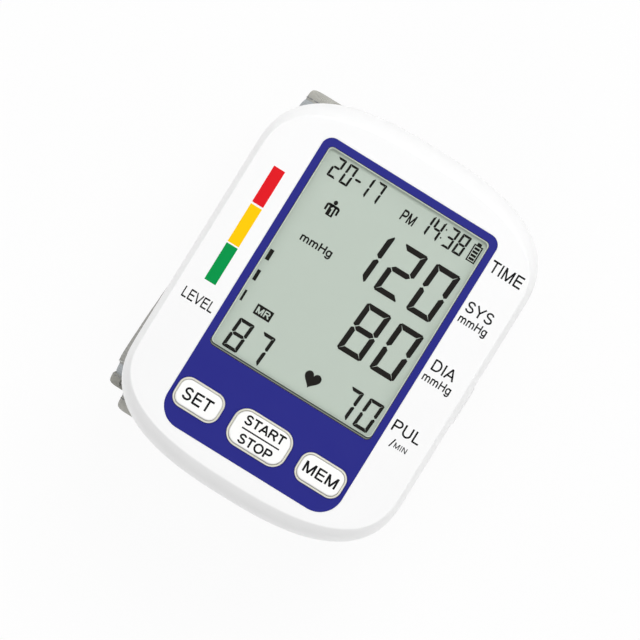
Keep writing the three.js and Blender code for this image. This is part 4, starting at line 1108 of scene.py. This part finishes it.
class DisplayMarks(bpy.types.Operator):
    """Draw the reading, date, time and icons on the display, and the seal, painted shade and painted highlight round
    its window
    """
    bl_idname = "monitor.display_marks"
    bl_label = "Display marks and window seal"

    def execute(self, context):
        display = context.scene.monitor_display
        window = box_solid((*LENS_LOW.xy, SHEET_UNDER_Z), (*LENS_HIGH.xy, SHEET_TOP_Z), "window_sheet")
        modify(window, "BEVEL", width=0.05 * MM, segments=2)
        finish_piece(tidy(window), once(clear_acrylic), "monitor", ("display_lens",))
        margin = 0.3 * MM
        sheet = box_solid((LENS_LOW.x + margin, LENS_LOW.y + margin, GLASS_TOP_Z),
                          (LENS_HIGH.x - margin, LENS_HIGH.y - margin, FRONT_Z), "display_front_glass")
        modify(sheet, "BEVEL", width=0.1 * MM, segments=2)
        ground = once(reflective_display, display.ground)
        finish_piece(tidy(sheet), ground, "monitor")

        base = FRONT_Z - PRINT / 2
        shapes = [shape for low, high, thick, signs in READINGS for sign, left, right in signs
                  for shape in segment_shapes(sign, left, right, low, high, thick)]
        marks = [flat_shape(shape, base, base + PRINT) for shape in shapes + MARKS]
        marks.append(lettering("PM", 0.85, 4.2, 26.49, 29.04, base, 0.19, slant=0.08))
        marks.append(lettering("mmHg", -14.9, -7.23, 11.06, 13.5, base, 0.19))
        finish_piece(join("display_segments", marks), ink("Liquid_crystal_on", display.segments, 0.45),
                     "monitor")
        base += 1.5 * PRINT
        pale = [lettering("MR", -14.68, -11.49, -6.5, -4.95, base, 0.2),
                lettering("1", -12.65, -11.95, 19.45, 21.3, base, 0.2)]
        finish_piece(join("display_knockouts", pale), ground, "monitor")

        outer = window_outline(-0.01 * MM)
        # The seal, then rings of painted shade and a ring of painted highlight, from the window's edge inwards
        for name, tint, top, sides in WINDOW_RINGS:
            ring = ring_piece(name, outer, shrunk_window(*sides), PANEL_UNDER_Z, PANEL_UNDER_Z + top * MM)
            outer = shrunk_window(*(side - 0.004 for side in sides))
            finish_piece(tidy(ring), ink(name.capitalize(), colour(tint), 0.5), "monitor")
        return {"FINISHED"}


# Cuff and strap: sheets are laid out flat along the length of a curve, and then bent along it

def lined(start, end):
    """A straight run of a curve, in millimetres."""
    return ("line", start, end, math.dist(start, end))


def arced(centre, radius, start, end):
    """An arc of a curve between two angles in degrees, anticlockwise when the end is larger."""
    return ("arc", (*centre, radius, math.radians(start), math.radians(end)), None,
            radius * abs(math.radians(end - start)))


def along(curve, s):
    """Place and inward normal in the XZ plane at this length of a curve, in millimetres."""
    for i, (kind, first, second, run) in enumerate(curve):
        if s <= run or i == len(curve) - 1:
            break
        s -= run
    if kind == "line":
        way = ((second[0] - first[0]) / run, (second[1] - first[1]) / run)
        return (first[0] + way[0] * s, first[1] + way[1] * s), (-way[1], way[0])
    x, z, radius, start, end = first
    angle = start + s / radius
    return ((x + radius * math.cos(angle), z + radius * math.sin(angle)), (-math.cos(angle), -math.sin(angle)))


# The solids' curves, in millimetres: circles about the wrist's axis, and shoulders whose centres lie nearer to it
AXIS_Z, PAD_RADIUS, SHOULDER_REACH = 14.1, 41.7, 31.7
CUFF_X, STRAP_X, LEFT_X, RIGHT_X, UNDER_RADIUS = -19.9, 20.5, -33.4, 30.5, 18
CUFF_TURN = 90 + math.degrees(math.asin(-CUFF_X / SHOULDER_REACH))
STRAP_TURN = math.degrees(math.acos(STRAP_X / SHOULDER_REACH))
CUFF_Z = AXIS_Z + SHOULDER_REACH * math.cos(math.asin(-CUFF_X / SHOULDER_REACH))
STRAP_Z = AXIS_Z + SHOULDER_REACH * math.sin(math.acos(STRAP_X / SHOULDER_REACH))
CUFF_CURVE = [
    arced((0, AXIS_Z), PAD_RADIUS, math.degrees(math.acos(22 / PAD_RADIUS)), CUFF_TURN),
    arced((CUFF_X, CUFF_Z), 10, CUFF_TURN, 180),
    lined((-29.9, CUFF_Z), (-29.9, 22.5)),
]
STRAP_CURVE = [
    arced((CUFF_X, STRAP_Z), 13.5, 141, 180),
    lined((LEFT_X, STRAP_Z), (LEFT_X, UNDER_RADIUS)),
    arced((-15.4, UNDER_RADIUS), UNDER_RADIUS, 180, 270),
    lined((-15.4, 0), (12.5, 0)),
    arced((12.5, UNDER_RADIUS), UNDER_RADIUS, 270, 360),
    lined((RIGHT_X, UNDER_RADIUS), (RIGHT_X, STRAP_Z)),
    arced((STRAP_X, STRAP_Z), 10, 0, STRAP_TURN),
    arced((0, AXIS_Z), PAD_RADIUS, STRAP_TURN, math.degrees(math.acos(22.3 / PAD_RADIUS))),
]


def total(curve):
    return sum(part[3] for part in curve)


# The strap's two halves meet 1.45 mm left of the wrist's axis
STRAP_SEAM = total(STRAP_CURVE[:3]) + (-1.45 + 15.4)


def ease(value, start, end):
    t = max(0.0, min(1.0, (value - start) / (end - start)))
    return t * t * (3 - 2 * t)


def bend(obj, curve, shift, slack):
    """Wraps a piece laid out flat (length, width, depth) along its curve; slack(s, y) eases it outwards."""
    for vertex in obj.data.vertices:
        s, y, depth = (c / MM for c in vertex.co)
        place, inward = along(curve, s)
        depth -= slack(s, y)
        vertex.co = ((place[0] + inward[0] * depth) * MM, (y + shift) * MM, (place[1] + inward[1] * depth) * MM)
    obj.data.update()
    return obj


def mapped(obj, coordinates, closing=math.inf, around=0.0):
    """Writes cloth coordinates, one pair in millimetres for each vertex; the closing faces end a whole way round."""
    layer = obj.data.uv_layers.new(name="Cloth")
    for face in obj.data.polygons:
        for corner in face.loop_indices:
            u, v = coordinates[obj.data.loops[corner].vertex_index]
            if face.index >= closing and u == 0:
                u = around
            layer.data[corner].uv = (u * MM, v * MM)


def swell(distance, reach):
    """0 at a sewn edge, rising like a filled pad to 1 at this distance."""
    t = max(0.0, min(1.0, distance / reach))
    return math.sqrt(1 - (1 - t) ** 2)


def middle_of(low, high):
    """Middle and half width of a frame box across the fabric, in millimetres."""
    return (low.y + high.y) / 2 / MM, (high.y - low.y) / 2 / MM


def edge_distance(s, y, low, high):
    """Distance to the nearest edge of a flat rectangle."""
    return min(s - low[0], high[0] - s, y - low[1], high[1] - y)


def pad_sheet(name, low, high, depths, step, corner=1.0):
    """A closed two-sided sheet over a rounded rectangle; depths(s, y) gives its outer and inner depth."""
    columns = max(2, round((high[0] - low[0]) / step))
    rows = max(2, round((high[1] - low[1]) / step))
    grid = []
    for i in range(columns + 1):
        for j in range(rows + 1):
            s = low[0] + (high[0] - low[0]) * i / columns
            y = low[1] + (high[1] - low[1]) * j / rows
            dx = corner - min(s - low[0], high[0] - s)
            dy = corner - min(y - low[1], high[1] - y)
            if dx > 0 and dy > 0:
                drawn = 1 - max(dx, dy) / math.hypot(dx, dy)
                s += math.copysign(dx * drawn, (low[0] + high[0]) / 2 - s)
                y += math.copysign(dy * drawn, (low[1] + high[1]) / 2 - y)
            grid.append((s, y))
    sides = [[(s * MM, y * MM, depths(s, y)[side] * MM) for s, y in grid] for side in (0, 1)]
    count = len(grid)
    faces = []
    for i in range(columns):
        for j in range(rows):
            a = i * (rows + 1) + j
            b = a + rows + 1
            faces.append((a, a + 1, b + 1, b))
            faces.append((count + a, count + b, count + b + 1, count + a + 1))
    rim = [i * (rows + 1) for i in range(columns + 1)]
    rim += [columns * (rows + 1) + j for j in range(1, rows + 1)]
    rim += [i * (rows + 1) + rows for i in range(columns - 1, -1, -1)]
    rim += range(rows - 1, 0, -1)
    for a, b in zip(rim, rim[1:] + rim[:1]):
        faces.append((a, b, count + b, count + a))
    obj = mesh_object(name, sides[0] + sides[1], faces)
    mapped(obj, grid + grid)
    return obj


def edge_walk(low, high, corner, pitch, parts):
    """Places, outward directions and running lengths round a rounded rectangle, in millimetres."""
    width, height = high[0] - low[0], high[1] - low[1]
    around = 2 * (width + height) - 8 * corner + 2 * math.pi * corner
    count = max(8, round(around / pitch)) * parts
    centres = [((low[0] + high[0]) / 2 + x * (width / 2 - corner), (low[1] + high[1]) / 2 + y * (height / 2 - corner))
               for x, y in ((1, 1), (-1, 1), (-1, -1), (1, -1))]
    starts = [(high[0], low[1] + corner), (high[0] - corner, high[1]), (low[0], high[1] - corner),
              (low[0] + corner, low[1])]
    ways = [(0, 1), (-1, 0), (0, -1), (1, 0)]
    runs = []
    for i in range(4):
        runs += [(True, i, (width if i % 2 else height) - 2 * corner), (False, i, math.pi / 2 * corner)]
    walk = []
    for step in range(count):
        run = t = around * step / count
        for straight, i, size in runs:
            if run <= size:
                break
            run -= size
        if straight:
            way = ways[i]
            place, out = (starts[i][0] + way[0] * run, starts[i][1] + way[1] * run), (way[1], -way[0])
        else:
            angle = math.pi / 2 * i + run / corner
            out = (math.cos(angle), math.sin(angle))
            place = (centres[i][0] + corner * out[0], centres[i][1] + corner * out[1])
        walk.append((place, out, t))
    return walk


# The tape's ribs and thickness, and the steps in which a rib and a stitch are drawn
RIB = 0.55
TAPE_THICK = 0.45
RIB_STEPS = 5
STITCH_STEPS = 20


def binding_piece(name, low, high, corner, widths, mid, thick):
    """Ribbed tape folded over the edge; widths are its reach over the long sides and over the ends."""
    walk = edge_walk(low, high, corner, RIB, RIB_STEPS)
    half = thick / 2 + 0.12
    points, faces, coordinates = [], [], []
    for index, (place, out, t) in enumerate(walk):
        lift = 0.07 * -math.cos(2 * math.pi * index / RIB_STEPS)
        wave = 0.06 * math.sin(t / 9.1) + 0.05 * math.sin(t / 3.7)
        share = out[1] ** 2
        width = widths[0] * share + widths[1] * (1 - share) + wave
        outer = half + TAPE_THICK + lift
        side = [(-width, thick / 2 - 0.05), (-width, outer - lift * 0.4), (-width + 0.25, outer + 0.12),
                (-width * 0.55, outer + 0.1)]
        fold = [(outer * 0.55 * math.cos(angle) - half * 0.55 - TAPE_THICK, outer * math.sin(angle))
                for angle in (math.pi * (k / 6 - 0.5) for k in range(7))]
        profile = [(n, -depth) for n, depth in side] + fold + side[::-1]
        run, last = 0, profile[0]
        for n, depth in profile:
            run += math.dist(last, (n, depth))
            last = (n, depth)
            points.append(((place[0] + out[0] * n) * MM, (place[1] + out[1] * n) * MM, (mid + depth) * MM))
            coordinates.append((t, run))
    count = len(profile)
    for i in range(len(walk)):
        j = (i + 1) % len(walk)
        for k in range(count):
            m = (k + 1) % count
            faces.append((i * count + k, j * count + k, j * count + m, i * count + m))
    obj = mesh_object(name, points, faces)
    around = walk[-1][2] + walk[1][2]
    mapped(obj, coordinates, (len(walk) - 1) * count, around)
    return obj


def stitch_row(name, places, radius):
    """One capsule for each (start, end) pair given flat as (length, width, depth) in millimetres."""
    bpy.ops.mesh.primitive_uv_sphere_add(segments=8, ring_count=6, radius=1, rotation=(0, math.pi / 2, 0))
    ball = settle(bpy.context.object)
    shape = [v.co.copy() for v in ball.data.vertices]
    loops = [tuple(p.vertices) for p in ball.data.polygons]
    bpy.data.objects.remove(ball)
    points, faces = [], []
    for start, end in places:
        first, last = Vector(start), Vector(end)
        way = (last - first).normalized()
        side = Vector((0, 0, 1)).cross(way).normalized()
        half = (last - first).length / 2
        begin = len(points)
        for co in shape:
            stretched = co.x * radius + math.copysign(half - radius, co.x) if abs(co.x) > 1e-6 else 0
            sink = 0.5 * radius * (stretched / half) ** 2
            point = (first + last) / 2 + way * stretched + side * co.y * radius
            point.z += co.z * radius * 0.8 + (sink if first.z < OUTER_SIDE else -sink)
            points.append(point * MM)
        faces += [tuple(begin + i for i in loop) for loop in loops]
    obj = mesh_object(name, points, faces)
    focus(obj)
    bpy.ops.object.shade_smooth()
    return obj


def seam_places(low, high, insets, stitch, gap, depth):
    """Stitch ends along a rounded rectangle set in from the long sides and from the ends."""
    pitch = stitch + gap
    walk = edge_walk((low[0] + insets[1], low[1] + insets[0]), (high[0] - insets[1], high[1] - insets[0]), 1.2,
                     pitch, STITCH_STEPS)
    drawn = round(STITCH_STEPS * (1 - gap / pitch))
    return [((*walk[i][0], depth), (*walk[(i + drawn) % len(walk)][0], depth))
            for i in range(0, len(walk), STITCH_STEPS)]


def binding_stitches(name, low, high, cuff, widths, mid, depth, radius):
    """Stitches through a binding, seen on both of its sides at this depth from the middle."""
    places = []
    for side in (-depth, depth):
        places += seam_places(low, high, widths, cuff.stitch / MM, STITCH_GAP, mid + side)
    return stitch_row(name, places, radius)


def pucker(distance, t, reach):
    """Little gathers that each stitch pulls into the fabric next to it."""
    return 0.5 * (1 + math.cos(2 * math.pi * t / GATHER_PITCH)) * math.exp(-distance / reach)


def cuff_slack(s, y):
    """The cuff's corners stand off its moulded shape past the case's shoulder, clear of the strap."""
    return (0.55 * ease(abs(y), 31, 37) - 0.5 * ease(y, -10, 8) * (1 - ease(y, 31, 36))) * ease(s, 46, 54)


def strap_slack(s, y):
    """The strap stands off as far at its tip, more at its lower corner, and lies true under the wrist."""
    return (0.6 - 1.35 * ease(y, -28, 8)) * (1 - ease(s, 34, 50))


# Both parts: thickness, how far the strap's padding sinks, the reach of the strap's binding at its ends, the gap
# between two stitches, the pitch of the gathers and the depth above which a stitch is on the outer side
CUFF_THICK, STRAP_THICK, STRAP_SUNK, END_BINDING = 5.1, 3.2, 0.55, 1.3
STITCH_GAP, GATHER_PITCH, OUTER_SIDE = 0.5, 2.7, 2.5
# Filling: its reach from a sewn edge, the gathers' height and reach, and the height of its slow waves
CUFF_FILLING, STRAP_FILLING = (8, 0.16, 2.2, 0.07), (5, 0.1, 1.6, 0.05)
# The loop fabric's stitches with the gap between two, and how far inside its long sides and its ends they run
LOOP_STITCH, LOOP_GAP, LOOP_INSETS = 1.75, 0.45, (0.45, 0.6)


def filled(edge, beside, wave, filling):
    """How full a pad is at this distance from a sewn edge, with its gathers and waves there."""
    reach, gather, fade, waves = filling
    full = swell(edge, reach)
    return full, gather * pucker(edge, beside, fade), waves * wave * full


def sew(obj, laid, material, body=None, stands_for=(), angle=60):
    """Bends a flat piece along its curve and finishes it; without an angle it keeps its smoothing."""
    bend(obj, *laid)
    if angle:
        tidy(obj, angle, weighted=False)
    return finish_piece(obj, material, body, stands_for)


class CuffPad(bpy.types.Operator):
    """Sew the wide, air-filled part of the cuff: crowned pad, ribbed binding and stitches"""
    bl_idname = "monitor.cuff_pad"
    bl_label = "Wide part of the cuff"

    def execute(self, context):
        cuff = context.scene.monitor_cuff
        middle, half = middle_of(CUFF_LOW, CUFF_HIGH)
        laid, half = (CUFF_CURVE, middle + 0.2, cuff_slack), half + 0.5
        low, high = (0.0, -half), (total(CUFF_CURVE), half)
        thick, width, sunk = CUFF_THICK, cuff.binding / MM, cuff.puff / MM

        def depths(s, y):
            side, end = half - abs(y), min(s - low[0], high[0] - s)
            seam = min(side - width, end - width)
            if seam <= 0:
                return sunk + 0.35, thick - sunk - 0.3
            wave = math.sin(s / 5.3 + 1.7 * math.sin(y / 11))
            full, gather, drift = filled(seam, s if side < end else y, wave, CUFF_FILLING)
            return sunk * (1 - full) + gather + drift, thick - sunk * 0.9 * (1 - full) - gather

        pad = pad_sheet("cuff_pad", (low[0] + 0.6, low[1] + 0.6), (high[0] - 0.6, high[1] - 0.6), depths, 0.9)
        sew(pad, laid, once(tricot, cuff.shell), "monitor",
            ("cuff_cover", "cuff_bladder", "cuff_lining"))

        inner = thick - 2 * sunk - 1.2
        binding = binding_piece("cuff_binding", low, high, 1.6, (width, width), thick / 2, inner)
        sew(binding, laid, once(grosgrain, cuff.tape), "monitor", ("cuff_tape",), 50)
        stitches = binding_stitches("cuff_stitches", low, high, cuff, (width - 0.55, width - 0.55), thick / 2,
                                    inner / 2 + 0.75, 0.14)
        thread = once(twisted_thread, "Grey_thread", cuff.thread)
        sew(stitches, laid, thread, "monitor", angle=0)
        return {"FINISHED"}


def strap_half(name, cuff, low_s, high_s, sewn_high):
    """Half of the strap, laid flat and bent along the curve: shell, loop panel, binding and stitches."""
    middle, half = middle_of(STRAP_LOW, STRAP_HIGH)
    half += 0.7
    low, high = (low_s, -half), (high_s, half)
    thick, width, sunk = STRAP_THICK, cuff.strap_binding / MM, STRAP_SUNK
    sewn_low = not sewn_high

    def depths(s, y):
        side = half - abs(y) - width
        free, joint = (s - low_s, high_s - s) if sewn_high else (high_s - s, s - low_s)
        end = free - END_BINDING
        if min(side, end) <= 0:
            return sunk + 0.3, thick - sunk - 0.3
        edge = max(0.0, min(side, end, joint))
        wave = math.sin(s / 4.7 + 1.3 * math.sin(y / 9))
        full, gather, drift = filled(edge, s if side < end else y, wave, STRAP_FILLING)
        return sunk * (1 - full) + gather + drift, thick - sunk * (1 - full) - gather

    shell = pad_sheet(name, (low_s + 0.5 * sewn_high, low[1] + 0.5), (high_s - 0.5 * sewn_low, high[1] - 0.5),
                      depths, 0.9)
    loop_low = (low_s + (2.0 if sewn_high else 1.2), -half + width + 2.2)
    loop_high = (high_s - (2.0 if sewn_low else 1.2), half - width - 2.2)

    def nap(s, y):
        edge = edge_distance(s, y, loop_low, loop_high)
        outer = depths(s, y)[0]
        lift = 0.45 * swell(edge, 1.2)
        drift = 0.05 * math.sin(s * 1.9 + 2 * math.sin(y * 1.3)) * math.sin(y * 1.7 + math.sin(s * 0.9))
        return outer - lift - (drift if edge > 1 else 0), outer + 0.35

    loop = pad_sheet(name + "_loop", loop_low, loop_high, nap, 0.7)
    row = [[(s, y, nap(s, y)[0] - 0.02) for s, y, depth in pair]
           for pair in seam_places(loop_low, loop_high, LOOP_INSETS, LOOP_STITCH, LOOP_GAP, 0.0)]
    seam = stitch_row(name + "_seam", row, 0.13)
    inner = thick - 2 * sunk - 0.5
    binding = binding_piece(name + "_binding", low, high, 1.2, (width, END_BINDING), thick / 2, inner)
    stitches = binding_stitches(name + "_stitches", low, high, cuff, (width - 0.5, END_BINDING - 0.4), thick / 2,
                                inner / 2 + 0.72, 0.13)
    for obj, material, slot, angle in (
            (shell, once(tricot, cuff.shell), "lining_fabric", 60),
            (loop, once(brushed_loop, cuff.loop), "loop_fabric", 60),
            (seam, once(twisted_thread, "Pale_thread", cuff.pale_thread), "binding_tape", 0),
            # The strap's binding takes the darker copy of the tape: painted shade
            (binding, once(grosgrain, cuff.shaded_strap_tape), "binding_tape", 60),
            (stitches, once(twisted_thread, "Grey_thread", cuff.thread), "binding_tape", 0)):
        sew(obj, (STRAP_CURVE, middle - 0.6, strap_slack), material, angle=angle)
        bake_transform(obj)
    return shell


class Strap(bpy.types.Operator):
    """Sew the strap in two halves that meet under the wrist, with its loop fabric, bindings and stitches"""
    bl_idname = "monitor.strap"
    bl_label = "Strap"

    def execute(self, context):
        cuff = context.scene.monitor_cuff
        lower = strap_half("strap_lower", cuff, 0.0, STRAP_SEAM, True)
        upper = strap_half("strap_upper", cuff, STRAP_SEAM, total(STRAP_CURVE), False)
        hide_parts("tip_cover", "tip_core", "tip_tape", "base_cover", "base_tape_lower", "base_lining")
        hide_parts("side_cover", "side_core", "side_lining", "side_tape", "base_core", "base_tape_upper")
        return {"FINISHED"}


class HookPatch(bpy.types.Operator):
    """Sew the hook tape on the inner side of the strap's tip"""
    bl_idname = "monitor.hook_patch"
    bl_label = "Hook tape"

    def execute(self, context):
        low, high = (10.5, -27.0), (30.0, 27.0)

        def depths(s, y):
            return STRAP_THICK - 0.35, STRAP_THICK + 0.55 * swell(edge_distance(s, y, low, high), 0.5)

        patch = pad_sheet("hook_patch", low, high, depths, 0.9, corner=2.0)
        sew(patch, (STRAP_CURVE, middle_of(STRAP_LOW, STRAP_HIGH)[0], strap_slack),
            hook_nylon(context.scene.monitor_cuff.hook), "strap_tip", ("tip_hook",))
        return {"FINISHED"}


# Stage: each lamp's place and size in metres, and its share of the key light
LAMPS = (
    ("top_lamp", (0.03, 0.52, 1.14), 0.6, 1), ("edge_lamp", (0.03, 1.0, 0.45), 0.4, 0.16),
    ("fill_lamp", (0.06, -0.66, 0.95), 0.8, 0.25), ("left_lamp", (-0.85, 0.05, 0.7), 0.6, 0.27),
    ("right_lamp", (0.85, 0.05, 0.7), 0.6, 0.27))
GROUND_Z = -0.6 * MM
FILM_WIDTH = 36
# How much of the floor's brightness is plain white where the camera or a reflection sees it
SHOWN_WHITE = 0.93


class Stage(bpy.types.Operator):
    """Lay the pale floor, hang the soft lamps and set the camera straight above the display"""
    bl_idname = "monitor.stage"
    bl_label = "Floor, lamps and camera"

    def execute(self, context):
        scene = context.scene
        stage = scene.monitor_stage
        bpy.ops.mesh.primitive_plane_add(size=6, location=(0, 0, GROUND_Z))
        floor = bpy.context.object
        floor.name = "floor"
        floor.data.materials.append(backdrop_paper(stage.floor))

        scene.world = bpy.data.worlds.new("Studio")
        scene.world.use_nodes = True
        sky = scene.world.node_tree
        height = add(sky, "ShaderNodeSeparateXYZ", {}, {0: add(sky, "ShaderNodeTexCoord").outputs["Generated"]})
        light = sky.nodes["Background"].inputs
        light["Color"].default_value = (1, 1, 1, 1)
        sky.links.new(spread(sky, height.outputs["Z"], stage.around, stage.overhead, 0.8, 0.97), light["Strength"])

        face = Vector((0, 0, FACE_Z))
        for name, place, size, share in LAMPS:
            aim = (face - Vector(place)).to_track_quat("-Z", "Y").to_euler()
            bpy.ops.object.light_add(type="AREA", location=place, rotation=aim)
            lamp = bpy.context.object
            lamp.name = name
            lamp.data.shape = "DISK"
            lamp.data.size = size
            lamp.data.energy = stage.key_light * share
            lamp.visible_camera = False

        distance = stage.view_width * stage.lens / FILM_WIDTH
        bpy.ops.object.camera_add(location=(-2.07 * MM, -0.64 * MM, FACE_Z + distance), rotation=(0, 0, stage.turn))
        camera = bpy.context.object
        camera.name = "camera"
        camera.data.lens = stage.lens
        camera.data.sensor_width = FILM_WIDTH
        camera.data.clip_start, camera.data.clip_end = 0.05, 20
        scene.camera = camera
        scene.view_settings.view_transform = "Standard"
        return {"FINISHED"}


PIECES = (CarriedFinishes, UpperShell, LowerShell, FrontPanel, Keys, FacePrint, DisplayMarks, CuffPad, Strap,
          HookPatch)


class MonitorPanel(bpy.types.Panel):
    """Lists one button for each piece of the monitor and its sizes"""
    bl_idname = "VIEW3D_PT_wrist_monitor"
    bl_label = "Wrist monitor"
    bl_space_type = "VIEW_3D"
    bl_region_type = "UI"
    bl_category = "Monitor"

    def draw(self, context):
        column = self.layout.column(align=True)
        for operator in (*PIECES, Stage):
            column.operator(operator.bl_idname)
        for name, group in SETTINGS.items():
            box = self.layout.box()
            box.label(text=name.replace("_", " "))
            for key in group.__annotations__:
                box.prop(getattr(context.scene, name), key)


CLASSES = (*SETTINGS.values(), *PIECES, Stage, MonitorPanel)


def register():
    for item in CLASSES:
        bpy.utils.register_class(item)
    for name, group in SETTINGS.items():
        setattr(bpy.types.Scene, name, bpy.props.PointerProperty(type=group))


def unregister():
    for name in SETTINGS:
        delattr(bpy.types.Scene, name)
    for item in reversed(CLASSES):
        bpy.utils.unregister_class(item)


def main():
    register()
    for operator in (*PIECES, Stage):
        group, name = operator.bl_idname.split(".")
        getattr(getattr(bpy.ops, group), name)()


if __name__ == "__main__":
    main()
